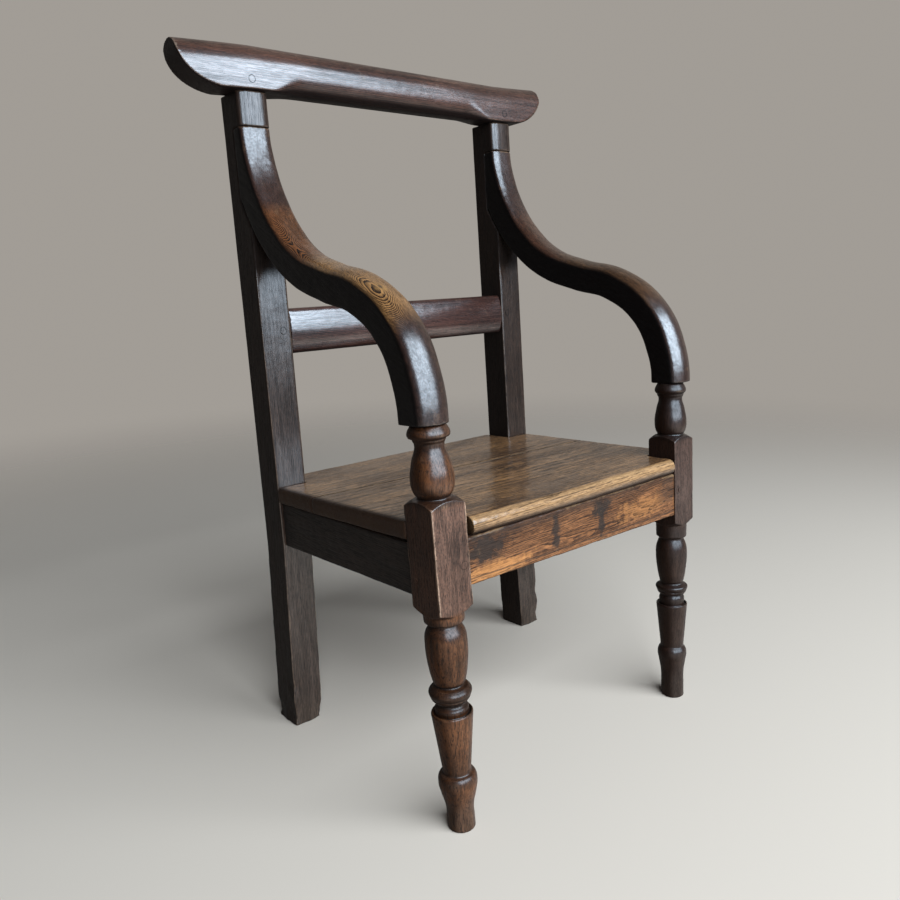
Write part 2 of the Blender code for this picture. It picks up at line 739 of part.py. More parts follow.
def settle_origin():
    """Puts the frame's origin under the middle of the whole chair's box, on the floor."""
    graph = bpy.context.evaluated_depsgraph_get()
    corners = []
    for item in PARTS.objects:
        solid = item.evaluated_get(graph)
        mesh = solid.to_mesh()
        corners += [solid.matrix_world @ point.co for point in mesh.vertices]
        solid.to_mesh_clear()
    low = Vector([min(c[i] for c in corners) for i in range(3)])
    high = Vector([max(c[i] for c in corners) for i in range(3)])
    CHAIR.location -= Vector(((low.x + high.x) / 2, (low.y + high.y) / 2, low.z))
    bpy.context.view_layer.update()
    print("box", [round(v, 4) for v in high - low], "origin moved by", [round(v, 4) for v in CHAIR.location])


def build():
    floor = floor_cutter()
    rear, front, rear_tenons = {}, {}, {}
    for name, side in SIDES:
        rear[name], rear_tenons[name] = rear_post(f"rear_post_{name}", side)
        front[name] = front_post(f"front_post_{name}", side)

    crest = crest_rail()
    middle = mid_rail(rear)
    rail_front = front_rail(front)
    rail_back = back_rail(rear)
    board_front, board_rear = seat_boards()

    for name, side in SIDES:
        boolean(crest, as_cutter(box(f"crest_{name}_mortise", *grown(*rear_tenons[name]))))
        rail_side = side_rail(name, side, front[name], rear[name])
        arm_item = arm(f"arm_{name}", side, front[name], rear[name])

        spot = (side * POST_MIDDLE, CREST_FACE, POST_TOP + POST_TENON.z / 2)
        pegged(f"crest_peg_{name}", spot, (0, 1, 0), PEG_LENGTH, (crest, rear[name]))
        spot = (side * (INNER + MID_PEG_INSET), REAR_FACE, MID_RAIL_BOTTOM + MID_RAIL_TALL / 2)
        pegged(f"mid_rail_peg_{name}", spot, (0, 1, 0), PEG_LENGTH, (middle, rear[name]))
        height = RAIL_MIDDLE + PEG_RAISED
        spot = (side * (front_inner(height) + PEG_INSET), BLOCK_FACE, height)
        pegged(f"front_rail_peg_{name}", spot, (0, 1, 0), PEG_LENGTH, (rail_front, front[name]))
        spot = (side * (INNER + PEG_INSET), REAR_BACK, RAIL_MIDDLE)
        pegged(f"back_rail_peg_{name}", spot, (0, -1, 0), PEG_LENGTH, (rail_back, rear[name]))
        height = RAIL_MIDDLE - 3 * PEG_RADIUS
        inward = (-side, 0, 0)
        spot = (side * (front_axis(height) + STOCK / 2), STOCK / 2 - PEG_INSET, height)
        pegged(f"side_rail_peg_front_{name}", spot, inward, SIDE_PEG_LENGTH, (rail_side, front[name]))
        spot = (side * HALF_WIDTH, REAR_FACE + PEG_INSET, height)
        pegged(f"side_rail_peg_rear_{name}", spot, inward, SIDE_PEG_LENGTH, (rail_side, rear[name]))
        spot = (side * POST_MIDDLE, REAR_BACK, ARM_SHOULDER - STOCK)
        pegged(f"arm_peg_{name}", spot, (0, -1, 0), PEG_LENGTH, (arm_item, rear[name]))

        across = side * (HALF_WIDTH - SIDE_RAIL_SETBACK - RAIL_THICK / 2)
        for number, depth in enumerate(NAIL_SIDE_FRONT, 1):
            nailed(f"seat_nail_{name}_{number}", across, depth, (board_front, rail_side))
        for number, depth in enumerate(NAIL_SIDE_REAR, len(NAIL_SIDE_FRONT) + 1):
            nailed(f"seat_nail_{name}_{number}", across, depth, (board_rear, rail_side))

    front_row = BLOCK_FACE + FRONT_RAIL_SETBACK + NAIL_INSET
    back_row = BACK_RAIL_FACE + RAIL_THICK / 2
    for number, across in enumerate((-NAIL_ROW, 0.0, NAIL_ROW), 1):
        nailed(f"seat_nail_front_{number}", across, front_row, (board_front, rail_front))
        nailed(f"seat_nail_back_{number}", across, back_row, (board_rear, rail_back))

    for post in (*front.values(), *rear.values()):
        boolean(post, floor)
    settle_origin()


build()
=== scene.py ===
# %% [markdown]
# # An old oak armchair, piece by piece
# This script rebuilds an open armchair in dark, waxed oak: four posts, two scroll arms, a fat crest rail,
# a half-round back rail and a seat of two boards. A measured CAD model of the chair is loaded first.
# It fixes where every joint is. Each wooden piece is then modelled again with softer, worn edges, the way
# two centuries of hands and brooms leave them, and takes the place of its CAD piece.

# %% Load the measured frame
import math

import bpy
import numpy as np
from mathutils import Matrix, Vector, noise


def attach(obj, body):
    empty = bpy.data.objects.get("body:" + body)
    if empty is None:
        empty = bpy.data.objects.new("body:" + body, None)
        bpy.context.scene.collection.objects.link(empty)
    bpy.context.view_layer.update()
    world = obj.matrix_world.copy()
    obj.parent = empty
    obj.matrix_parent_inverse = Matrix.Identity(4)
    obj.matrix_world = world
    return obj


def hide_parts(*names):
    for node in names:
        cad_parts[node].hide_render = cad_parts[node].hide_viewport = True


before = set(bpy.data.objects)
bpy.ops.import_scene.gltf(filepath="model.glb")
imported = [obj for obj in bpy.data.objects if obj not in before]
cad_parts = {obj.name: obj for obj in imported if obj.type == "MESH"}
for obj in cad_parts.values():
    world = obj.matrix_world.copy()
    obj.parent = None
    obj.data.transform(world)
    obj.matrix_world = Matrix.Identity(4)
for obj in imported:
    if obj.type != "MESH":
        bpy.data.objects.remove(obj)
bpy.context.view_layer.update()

print("CAD pieces:", len(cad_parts))

# %% [markdown]
# ## The chair's own upright frame
# The whole chair leans back a little. It is much easier to model each piece upright, with straight posts,
# and to lean the finished piece back at the end. Heights are measured up from the floor under the front
# legs, depths back from the front posts' middle line, and widths from the chair's middle.

# %% Main sizes, in metres
LEAN = math.radians(2.7)
FORWARD = 0.2222  # moves the leaned chair so that it stands in the middle of its box
GAP = 0.0003  # room in a joint
STOCK = 0.051  # the two-inch squares that posts are made from
HALF_WIDTH = 0.2815
INNER = HALF_WIDTH - STOCK
POST_MIDDLE = HALF_WIDTH - STOCK / 2
REAR_FACE, REAR_BACK = 0.363, 0.420
SHOULDER = 0.972  # where the arms end on the rear posts
POST_TOP = 1.024
SEAT_TOP, SEAT_THICK = 0.423, 0.025
RAIL_TOP, RAIL_BOTTOM = 0.3977, 0.3277
RAIL_THICK = 0.024
SIDES = (("left", -1), ("right", 1))

# %% [markdown]
# ## A few workshop habits
# These helpers do what a modeller does by hand all day: pick one object, box up a piece of timber, draw an
# outline and extrude it, cut one piece with another, and add a modifier and apply it.

# %% Bench tools


def pick(item):
    """Makes this the one selected and active object."""
    bpy.ops.object.select_all(action="DESELECT")
    item.select_set(True)
    bpy.context.view_layer.objects.active = item
    return item


def edit(item):
    """Opens the piece in edit mode with everything selected."""
    pick(item)
    bpy.ops.object.mode_set(mode="EDIT")
    bpy.ops.mesh.select_all(action="SELECT")


def close():
    """Leaves edit mode with all faces turned outward."""
    bpy.ops.mesh.select_all(action="SELECT")
    bpy.ops.mesh.normals_make_consistent(inside=False)
    bpy.ops.object.mode_set(mode="OBJECT")


def work(item, kind, **settings):
    """Adds a modifier, sets it and applies it."""
    pick(item)
    modifier = item.modifiers.new(kind.lower(), kind)
    for key, value in settings.items():
        setattr(modifier, key, value)
    bpy.ops.object.modifier_apply(modifier=modifier.name)


def freeze(item):
    """Applies the piece's place, turn and size to its mesh."""
    pick(item)
    bpy.ops.object.transform_apply(location=True, rotation=True, scale=True)


def to_mesh(curve):
    """Turns a curve into a mesh."""
    pick(curve)
    bpy.ops.object.convert(target="MESH")
    return bpy.context.object


def cut(item, cutter, operation="DIFFERENCE"):
    """Cuts one piece with another and throws the cutter away."""
    work(item, "BOOLEAN", object=cutter, operation=operation, solver="EXACT")
    bpy.data.objects.remove(cutter)


def timber(name, low, high):
    """A squared piece of timber between two corners."""
    low, high = Vector(low), Vector(high)
    bpy.ops.mesh.primitive_cube_add(size=1, location=(low + high) / 2)
    item = bpy.context.object
    item.name = item.data.name = name
    item.scale = high - low
    bpy.ops.object.transform_apply(location=True, rotation=False, scale=True)
    return item


def shape(name, points, faces):
    """A new object from a drawn outline or a set of rings."""
    mesh = bpy.data.meshes.new(name)
    mesh.from_pydata(points, [], faces)
    item = bpy.data.objects.new(name, mesh)
    bpy.context.scene.collection.objects.link(item)
    return item


def sawn(name, outline, start, end, along):
    """A piece sawn to an outline: drawn flat, then extruded along x, y or z."""
    axis = "xyz".index(along)
    points = [(*pair[:axis], start, *pair[axis:]) for pair in outline]
    item = shape(name, points, [list(range(len(points)))])
    edit(item)
    push = [0, 0, 0]
    push[axis] = end - start
    bpy.ops.mesh.extrude_region_move(TRANSFORM_OT_translate={"value": push})
    close()
    return item


def lofted(name, rings):
    """A skin over rings of points, closed at both ends."""
    count = len(rings[0])
    faces = [list(range(count)), list(range(len(rings) * count - count, len(rings) * count))]
    for row in range(len(rings) - 1):
        for i in range(count):
            k = (i + 1) % count
            low, up = row * count, (row + 1) * count
            faces.append([low + i, low + k, up + k, up + i])
    item = shape(name, [point for ring in rings for point in ring], faces)
    edit(item)
    close()
    return item


# %% [markdown]
# ## What age does
# Fresh timber has sharp corners. On an old chair every corner is soft, some stretches more than others,
# and no face is quite flat. Each piece gets an even grid of small faces from a voxel remesh. A smooth
# modifier then rounds the corners, weighted by a slow noise so the wear comes and goes. The depth it takes
# off is kept as a vertex attribute: the finish later shows bare, lighter wood where it is positive and
# dark wax where a corner was filled in. Two displacements add the waves of a hand plane and small dents.

# %% Ageing a piece
PLANE_WAVES = bpy.data.textures.new("plane_waves", "CLOUDS")
PLANE_WAVES.noise_scale = 0.07
SMALL_DENTS = bpy.data.textures.new("small_dents", "CLOUDS")
SMALL_DENTS.noise_scale = 0.014
FULL_WEAR = 0.00045  # depth of lost wood that counts as fully bare


def corners(item):
    """All vertex places of a piece, as rows of x, y and z."""
    flat = np.zeros(len(item.data.vertices) * 3)
    item.data.vertices.foreach_get("co", flat)
    return flat.reshape(-1, 3)


def age(item, grid, rounds, wave=0.0012, dents=0.0005, patchy=0.5, full=FULL_WEAR):
    """Soft corners, slow waves and dents. The depth of wood worn off stays on the mesh as 'worn'."""
    work(item, "REMESH", mode="VOXEL", voxel_size=grid)
    group = item.vertex_groups.new(name="wear")
    for corner in item.data.vertices:
        share = 0.5 + patchy * noise.noise(corner.co * 22) + 0.4 * patchy * noise.noise(corner.co * 75)
        group.add([corner.index], min(max(share, 0.12), 1.0), "REPLACE")
    before = corners(item)
    work(item, "SMOOTH", factor=0.5, iterations=rounds, vertex_group="wear")
    normals = np.zeros(len(before) * 3, np.float32)
    item.data.vertex_normals.foreach_get("vector", normals)
    depth = ((before - corners(item)) * normals.reshape(-1, 3)).sum(1) / full
    work(item, "DISPLACE", texture=PLANE_WAVES, strength=wave, mid_level=0.5)
    work(item, "DISPLACE", texture=SMALL_DENTS, strength=dents, mid_level=0.5)
    item.vertex_groups.clear()
    worn = item.data.attributes.new("worn", "FLOAT", "POINT")
    worn.data.foreach_set("value", np.clip(depth, -1, 1).astype(np.float32))
    pick(item)
    bpy.ops.object.shade_smooth()
    print(f"{item.name}: {len(item.data.polygons)} faces, worn {depth.max() * full * 1000:.2f} mm at most")


def chip(item, place, reach, push):
    """Pushes the surface in round one place, as a knock does."""
    for corner in item.data.vertices:
        near = 1 - (corner.co - Vector(place)).length / reach
        if near > 0:
            corner.co += Vector(push) * near * (1 + 0.4 * noise.noise(corner.co * 90))


def trim_at_floor(item):
    """Cuts a leg level with the floor, which slopes in the upright frame."""
    edit(item)
    bpy.ops.mesh.bisect(plane_co=(0, 0, 0), plane_no=(0, -math.sin(LEAN), math.cos(LEAN)),
                        use_fill=True, clear_inner=True)
    close()


def settle(item, node, finish):
    """Leans a finished piece back with the chair and puts it in place of its CAD piece."""
    item.rotation_euler.x = -LEAN
    item.location.y = -FORWARD
    freeze(item)
    item.data.materials.clear()
    item.data.materials.append(finish)
    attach(item, "root")
    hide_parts(node)


# %% [markdown]
# ## Oak, as a set of masks
# Old oak is read through five things: growth rings, long soft streaks, short open pores, small flecks, and
# broad patches where the wax is thick or thin. One node group makes all five from a vector whose first axis
# runs along the grain. Every finish shares it, so a post and a rail look cut from the same tree. A few short
# helpers come first, each for one kind of node, which goes into the tree that its inputs come from.

# %% Node helpers


def new_finish(name):
    """A material and its node tree."""
    finish = bpy.data.materials.new(name)
    finish.use_nodes = True
    return finish, finish.node_tree


def feed(node, inputs):
    """Fills a node's inputs. Each is a value, or a socket to link from."""
    for key, value in inputs.items():
        if isinstance(value, bpy.types.NodeSocket):
            node.id_data.links.new(value, node.inputs[key])
        else:
            node.inputs[key].default_value = value
    return node


def add(tree, kind, inputs=None, **settings):
    """A new node with its settings and inputs."""
    made = tree.nodes.new(kind)
    for key, value in settings.items():
        setattr(made, key, value)
    return feed(made, inputs or {})


def join(kind, inputs, **settings):
    """A new node in the tree that its inputs come from."""
    tree = next(value.id_data for value in inputs.values() if isinstance(value, bpy.types.NodeSocket))
    return add(tree, kind, inputs, **settings)


def new_group(name, inputs, outputs):
    """An empty shader node group: its tree, its input node and its output node. An input is a vector,
    or else it has a number as its usual value. All outputs are masks."""
    tree = bpy.data.node_groups.new(name, "ShaderNodeTree")
    for label, value in inputs.items():
        kind = "NodeSocketVector" if value == "vector" else "NodeSocketFloat"
        socket = tree.interface.new_socket(label, in_out="INPUT", socket_type=kind)
        if value != "vector":
            socket.default_value = value
    for label in outputs:
        tree.interface.new_socket(label, in_out="OUTPUT", socket_type="NodeSocketFloat")
    return tree, tree.nodes.new("NodeGroupInput"), tree.nodes.new("NodeGroupOutput")


def remap(value, low, high, to_low=0.0, to_high=1.0):
    """A value's range, moved and clamped, with a soft start and end."""
    made = join("ShaderNodeMapRange", {0: value, 1: low, 2: high, 3: to_low, 4: to_high},
                interpolation_type="SMOOTHSTEP")
    return made.outputs[0]


# %% Sums on values and colours


def math_node(operation, first, second=0.0):
    return join("ShaderNodeMath", {0: first, 1: second}, operation=operation).outputs[0]


def times(first, second):
    return math_node("MULTIPLY", first, second)


def minus(first, second):
    return math_node("SUBTRACT", first, second)


def flip(mask):
    """A mask turned round: 1 becomes 0."""
    return minus(1.0, mask)


def apart(first, second):
    """How far apart two values are."""
    return math_node("ABSOLUTE", minus(first, second))


def vector_node(operation, first, second=(0, 0, 0)):
    made = join("ShaderNodeVectorMath", {0: first, 1: second}, operation=operation)
    return made.outputs["Value" if operation in ("LENGTH", "DISTANCE", "DOT_PRODUCT") else "Vector"]


def stretch(vector, along, across):
    """The grain vector, scaled along and across the grain."""
    return vector_node("MULTIPLY", vector, (along, across, across))


def mottle(vector, detail, roughness, scale=1.0):
    """Soft noise between 0 and 1."""
    return join("ShaderNodeTexNoise",
                {"Vector": vector, "Scale": scale, "Detail": detail, "Roughness": roughness}).outputs["Fac"]


def weigh(value, factor, base):
    """A value times a factor, added to a base."""
    return join("ShaderNodeMath", {0: value, 1: factor, 2: base}, operation="MULTIPLY_ADD").outputs[0]


def blend(factor, first, second):
    """Two colours mixed by a mask. A colour is a socket, or red, green and blue."""
    first, second = ((*c, 1) if isinstance(c, tuple) else c for c in (first, second))
    return join("ShaderNodeMix", {0: factor, 6: first, 7: second}, data_type="RGBA").outputs[2]


# %% The grain group
grain, given, result = new_group("oak_grain", {"Vector": "vector", "Ring Scale": 70.0, "Wander": 9.0},
                                 ("Rings", "Streaks", "Pores", "Patches", "Flecks"))
vector = given.outputs["Vector"]
ring_wave = add(grain, "ShaderNodeTexWave",
                {"Vector": stretch(vector, 0.12, 1.0), "Scale": given.outputs["Ring Scale"],
                 "Distortion": given.outputs["Wander"], "Detail": 3.0, "Detail Scale": 0.22,
                 "Detail Roughness": 0.6},
                wave_type="RINGS", rings_direction="X", wave_profile="SAW")
rings = ring_wave.outputs["Fac"]
streaks = mottle(stretch(vector, 5.0, 190.0), 5.0, 0.6)
long_pores = mottle(stretch(vector, 26.0, 520.0), 2.0, 0.5)
fine_pores = mottle(stretch(vector, 70.0, 1100.0), 1.0, 0.5)
early = remap(rings, 0.0, 0.55, 1.0, 0.40)
open_pores = math_node("MAXIMUM", remap(long_pores, 0.52, 0.62), remap(fine_pores, 0.51, 0.61))
patches = mottle(stretch(vector, 5.0, 14.0), 4.0, 0.55)
flecks = mottle(stretch(vector, 120.0, 420.0), 3.0, 0.6)
feed(result, {"Rings": rings, "Streaks": streaks, "Pores": times(open_pores, early), "Patches": patches,
              "Flecks": flecks})
print("oak_grain nodes:", len(grain.nodes))

# %% [markdown]
# ## Wear, old wax, shine and painted shade
# The ageing step left its depth on every piece as the attribute "worn". This group breaks that up with
# noise, so bare edges look rubbed and not drawn with a pen. Its second mask is the dark wax and dust that
# collects in corners and quirks where no cloth reaches. Its third mask is the faces that look up and forward,
# which keep the thickest wax coat; every other face is darkened towards near black as painted shade.

# %% The wear group
FORWARD_AND_UP = (0.0, -0.77, 0.64)
wear, given, result = new_group(
    "wear", {"Vector": "vector", "Facing": "vector", "Amount": 0.6, "Grime": 0.92}, ("Bare", "Wax", "Polish And Shade"))
depth = add(wear, "ShaderNodeAttribute", attribute_name="worn").outputs["Fac"]
rub = mottle(given.outputs["Vector"], 5.0, 0.65, 55.0)
rubbed = math_node("ADD", depth, weigh(rub, 1.4, -0.7))
polish_and_shade = remap(vector_node("DOT_PRODUCT", given.outputs["Facing"], FORWARD_AND_UP), 0.20, 0.72)
reached = times(weigh(polish_and_shade, 0.85, 0.15), given.outputs["Amount"])
bare = times(remap(rubbed, 0.12, 0.7), reached)
wax = times(remap(times(depth, -1.0), 0.02, 0.28), given.outputs["Grime"])
feed(result, {"Bare": bare, "Wax": wax, "Polish And Shade": polish_and_shade})
print("wear nodes:", len(wear.nodes))

# %% [markdown]
# ## Blots
# Knots, stains, rubbed patches and the rims of pegs sit at one place on one piece. This group makes a soft
# blot there: the distance from a centre, measured in the blot's own length, depth and height, with a ragged
# edge from noise. A ring is the same thing with its middle left out.

# %% The blot group
THROUGH = 9.0  # a blot this large along one axis runs through the piece
blots, given, result = new_group(
    "blot", {"Vector": "vector", "Centre": "vector", "Size": "vector", "Ragged": 0.5}, ("Mask", "Ring"))
away = vector_node("SUBTRACT", given.outputs["Vector"], given.outputs["Centre"])
length = vector_node("LENGTH", vector_node("DIVIDE", away, given.outputs["Size"]))
edge = mottle(given.outputs["Vector"], 4.0, 0.6, 90.0)
ragged = times(minus(edge, 0.5), given.outputs["Ragged"])
reach = weigh(ragged, 2.0, length)
feed(result, {"Mask": remap(reach, 0.45, 1.05, 1.0, 0.0),
              "Ring": remap(apart(reach, 1.0), 0.04, 0.22, 1.0, 0.0)})


def blot(place, centre, size, ragged=0.5, share=1.0, output="Mask"):
    """A blot's mask in a finish."""
    made = join("ShaderNodeGroup", {"Vector": place, "Centre": centre, "Size": size, "Ragged": ragged},
                node_tree=blots)
    return times(made.outputs[output], share)


print("blot nodes:", len(blots.nodes))

# %% [markdown]
# ## One recipe for waxed oak
# A finish is a deep colour, a lighter colour between the rings, and a bare colour for rubbed edges. Pores
# and filled corners go almost black. The shine of old wax is a clear coat over the wood, thickest on the
# polished faces and broken by pores and streaks, which also feed a small bump. What belongs to one piece
# only, such as a knot, is painted by that piece's own function, before edges and pores.

# %% The oak recipe
PEG_RIM = (0.0052, THROUGH, 0.0055)
RIM_BLACK, WAX_BLACK = (0.004, 0.003, 0.002), (0.006, 0.004, 0.003)
TONE_SPREAD = 0.38  # a smaller spread gives more contrast between deep and light


def oak(name, turn, deep, light, bare, ring_scale=130.0, wander=7.0, pith=(0.0, 0.05, 0.03), rubbed=0.75,
        rough=0.40, coat=0.8, coat_rough=0.24, shade=0.8, pored=0.85, ringed=0.40, flecked=0.7, gloss=1.9,
        fine=(1, 1, 1), dull_and_shade=None, pegs=None, marks=None):
    """A waxed oak finish whose grain runs along the piece: turn brings the grain onto the first axis."""
    finish, tree = new_finish(name)
    tree.nodes.clear()
    seen = add(tree, "ShaderNodeTexCoord")
    place = seen.outputs["Object"]
    turned = [math.radians(a) for a in turn]
    along = join("ShaderNodeMapping", {"Vector": place, "Rotation": turned, "Location": pith, "Scale": fine})
    figure = join("ShaderNodeGroup", {"Vector": along.outputs[0], "Ring Scale": ring_scale, "Wander": wander},
                  node_tree=grain)
    rings, streaks, pores, patches, flecks = figure.outputs
    use = join("ShaderNodeGroup", {"Vector": place, "Facing": seen.outputs["Normal"], "Amount": rubbed},
               node_tree=wear)
    bared, wax, polish_and_shade = use.outputs
    if dull_and_shade:
        shiny = flip(dull_and_shade(place))
        polish_and_shade, bared = times(polish_and_shade, shiny), times(bared, shiny)
    tone = weigh(rings, ringed, streaks)
    tone = weigh(patches, 0.9, tone)
    tone = weigh(flecks, flecked, tone)
    middle = 0.95 + 0.5 * (ringed + flecked)
    tone = remap(tone, middle - TONE_SPREAD, middle + TONE_SPREAD)
    wood = blend(tone, deep, light)
    # Near black, used for the pores and for the painted shade on faces turned away from front and top.
    pore_and_shade_black = tuple(0.25 * c for c in deep)
    if marks:
        wood = marks(place, tone, wood)
    wood = blend(bared, wood, bare)
    if pegs:
        x, z, share = pegs
        rims = [blot(place, (side * x, 0.0, z), PEG_RIM, 0.35, share, "Ring") for side in (-1, 1)]
        lines = math_node("MAXIMUM", *rims)
        polish_and_shade = times(polish_and_shade, weigh(lines, -0.85, 1.0))
        wood = blend(lines, wood, RIM_BLACK)
    wood = blend(times(pores, pored), wood, pore_and_shade_black)
    # Painted shade: faces that look away from the front and top are darkened, by the share shade.
    wood = blend(weigh(polish_and_shade, -shade, shade), wood, pore_and_shade_black)
    wood = blend(wax, wood, WAX_BLACK)
    matt = weigh(streaks, 0.22, rough + 0.05)
    matt = weigh(polish_and_shade, -0.16, matt)
    matt = weigh(pores, 0.2, matt)
    thick = remap(patches, 0.3, 0.7, 0.6 * coat, coat)
    broken = remap(streaks, 0.35, 0.62, 0.68, 1.0)
    for share in (polish_and_shade, weigh(bared, -0.5, 1.0), weigh(pores, -0.45, 1.0), broken):
        thick = times(thick, share)
    relief = weigh(pores, -0.6, streaks)
    bump = join("ShaderNodeBump", {"Height": relief, "Strength": 0.55, "Distance": 0.0009})
    shader = join("ShaderNodeBsdfPrincipled", {
        "Base Color": wood, "Roughness": matt, "Specular IOR Level": 0.12, "Coat Weight": thick,
        "Coat Roughness": coat_rough, "Coat IOR": gloss, "Sheen Weight": 0.01, "Sheen Roughness": 0.4,
        "Normal": bump.outputs[0]})
    join("ShaderNodeOutputMaterial", {0: shader.outputs[0]})
    return finish


# %% [markdown]
# ## Masks across the chair
# Some marks follow the chair and not a single spot: painted shade behind an arm, the less waxed legs, and
# painted shade on the left end of the seat. Each is a mask along one axis of the chair, or round a post's own
# axis.

# %% Masks
JOINT_SLANT = 0.077  # the joint between the seat boards isn't quite square to the chair


def band(place, axis, low, high):
    """A mask that rises from 0 to 1 along one axis of the chair."""
    parts = join("ShaderNodeSeparateXYZ", {0: place})
    return remap(parts.outputs["XYZ".index(axis)], low, high)


def belt(place, low, high, soft=0.005):
    """A level band round a post."""
    return minus(band(place, "Z", low - soft, low + soft), band(place, "Z", high - soft, high + soft))


def seat_end_shade(place):
    """The left end of the seat, darkened as painted shade."""
    return flip(band(place, "X", -0.281, -0.266))


def arm_joint_shade(place):
    """Where the rear post lies behind the arm: painted shade there, with no shine and no bare edges."""
    return minus(band(place, "Z", 0.725, 0.750), band(place, "Z", 0.945, 0.952))


def leg_height(place):
    """The legs below the seat, which are waxed less often."""
    return weigh(band(place, "Z", 0.30, 0.45), -0.3, 0.3)


def from_axis(place):
    """Distances out and back from the own axis of a front post, which leans with the chair."""
    x, y, z = join("ShaderNodeSeparateXYZ", {0: place}).outputs
    out = minus(apart(x, -0.0005), weigh(z, 0.0201, 0.2450))
    back = minus(y, weigh(z, 0.0471, -FORWARD))
    return join("ShaderNodeCombineXYZ", {0: out, 1: back}).outputs[0]


# %% [markdown]
# ## Marks of single pieces
# The arms are bare and golden where elbows rest, with a small knot on one hump. The seat has a knot, soiled
# patches, scratches, a painted highlight beside its dark joint, and a pale, dry edge in front whose underside
# is painted shade. The front rail is darker along its top, with stains that ran down from it. Feet are dry and
# scuffed. Dark wax sits in the turned quirks, and painted shade darkens the turned necks, the block's top, the
# vase and all of the far post.

# %% Marks of arms and seat
SCRATCHES = ((-0.10, -0.02, 0.060), (0.08, -0.09, 0.045), (-0.05, -0.13, 0.050), (0.12, 0.09, 0.07))


def stain(place, wood, colour, *spot):
    """The wood with a blot of another colour on it."""
    return blend(blot(place, *spot), wood, colour)


def arm_marks(place, tone, wood):
    golden = blend(tone, (0.040, 0.015, 0.005), (0.40, 0.180, 0.055))
    orange = blend(tone, (0.014, 0.005, 0.002), (0.210, 0.066, 0.018))
    rested = blend(band(place, "Y", -0.01, 0.05), golden, orange)
    start, stop = band(place, "Y", -0.185, -0.150), band(place, "Z", 0.822, 0.846)
    share = times(start, flip(stop))
    share = times(share, weigh(band(place, "X", -0.1, 0.1), -0.75, 1.0))
    wood = blend(share, wood, rested)
    knot = (-0.266, -0.124, 0.708)
    wood = stain(place, wood, (0.40, 0.19, 0.05), knot, (0.011, 0.015, 0.02), 0.4, 0.6)
    return stain(place, wood, (0.020, 0.009, 0.004), knot, (0.0045, 0.006, 0.02), 0.3, 0.9)


def seat_marks(place, tone, wood):
    soiled = mottle(vector_node("MULTIPLY", place, (9.0, 20.0, 20.0)), 7.0, 0.7)
    wood = blend(remap(soiled, 0.45, 0.62, 0.0, 0.6), wood, (0.060, 0.024, 0.010))
    across = vector_node("DOT_PRODUCT", place, (JOINT_SLANT, 1.0, 0.0))
    # Painted highlight: a pale line beside the joint, where light catches the board's edge. The dark line in
    # the gap is the joint itself.
    worn = remap(apart(across, 0.0325), 0.0008, 0.0026, 1.0, 0.0)
    wood = blend(times(worn, weigh(tone, 0.6, 0.4)), wood, (0.66, 0.44, 0.25))
    gap = remap(apart(across, 0.0352), 0.0006, 0.0020, 0.9, 0.0)
    wood = blend(gap, wood, (0.012, 0.006, 0.004))
    for x, y, wide in SCRATCHES:
        wood = stain(place, wood, (0.020, 0.010, 0.005), (x, y, 0.0), (wide, 0.0014, THROUGH), 0.5, 0.7)
    knot = (0.027, -0.046, 0.412)
    wood = stain(place, wood, (0.016, 0.008, 0.004), knot, (0.016, 0.006, THROUGH), 0.5, 0.9)
    # Painted shade: the left end of the seat is darker.
    wood = blend(times(seat_end_shade(place), 0.85), wood, (0.030, 0.012, 0.008))
    edge = blend(weigh(tone, 0.5, 0.25), (0.22, 0.110, 0.050), (0.64, 0.350, 0.150))
    # Painted shade: the lower half of the rolled edge, which faces down, is darker.
    edge = blend(band(place, "Z", 0.403, 0.417), (0.055, 0.026, 0.014), edge)
    return blend(flip(band(place, "Y", -0.227, -0.219)), wood, edge)


# %% Marks of rail, feet and posts
SOOT, AMBER = (0.022, 0.014, 0.011), (0.50, 0.200, 0.060)
RUN_DOWNS = ((-0.060, 0.367, 0.010, 0.030), (0.042, 0.382, 0.024, 0.016), (0.040, 0.362, 0.010, 0.026),
             (-0.195, 0.380, 0.050, 0.022))  # place across, height, width and length
# Darker belts round the front posts: dark wax in the quirks, and painted shade over the necks, the top of the
# block and the vase.
WAX_AND_SHADE_BELTS = ((0.070, 0.086, 0.5), (0.168, 0.208, 0.6), (0.276, 0.300, 0.5), (0.450, 0.464, 0.8),
              (0.508, 0.600, 0.55), (0.464, 0.508, 0.25))  # from, to and strength


def rail_marks(place, tone, wood):
    wood = stain(place, wood, AMBER, (-0.175, 0.0, 0.346), (0.075, THROUGH, 0.018), 0.9, 0.85)
    wood = stain(place, wood, AMBER, (0.14, 0.0, 0.360), (0.07, THROUGH, 0.020), 1.1, 0.5)
    wood = blend(times(band(place, "Z", 0.380, 0.400), 0.75), wood, SOOT)
    for x, z, wide, tall in RUN_DOWNS:
        wood = stain(place, wood, SOOT, (x, 0.0, z), (wide, THROUGH, tall), 1.1, 0.9)
    wood = stain(place, wood, SOOT, (0.215, 0.0, 0.375), (0.040, THROUGH, 0.030), 0.8, 0.55)
    line = apart(vector_node("DOT_PRODUCT", place, (0.0215, 0.0, 1.0)), 0.3420)
    return blend(remap(line, 0.0004, 0.0016, 0.65, 0.0), wood, SOOT)


def foot_marks(place, tone, wood):
    scuffed = flip(band(place, "Z", 0.012, 0.060))
    dry = blend(tone, (0.055, 0.034, 0.022), (0.20, 0.13, 0.085))
    return blend(times(scuffed, 0.2), wood, dry)


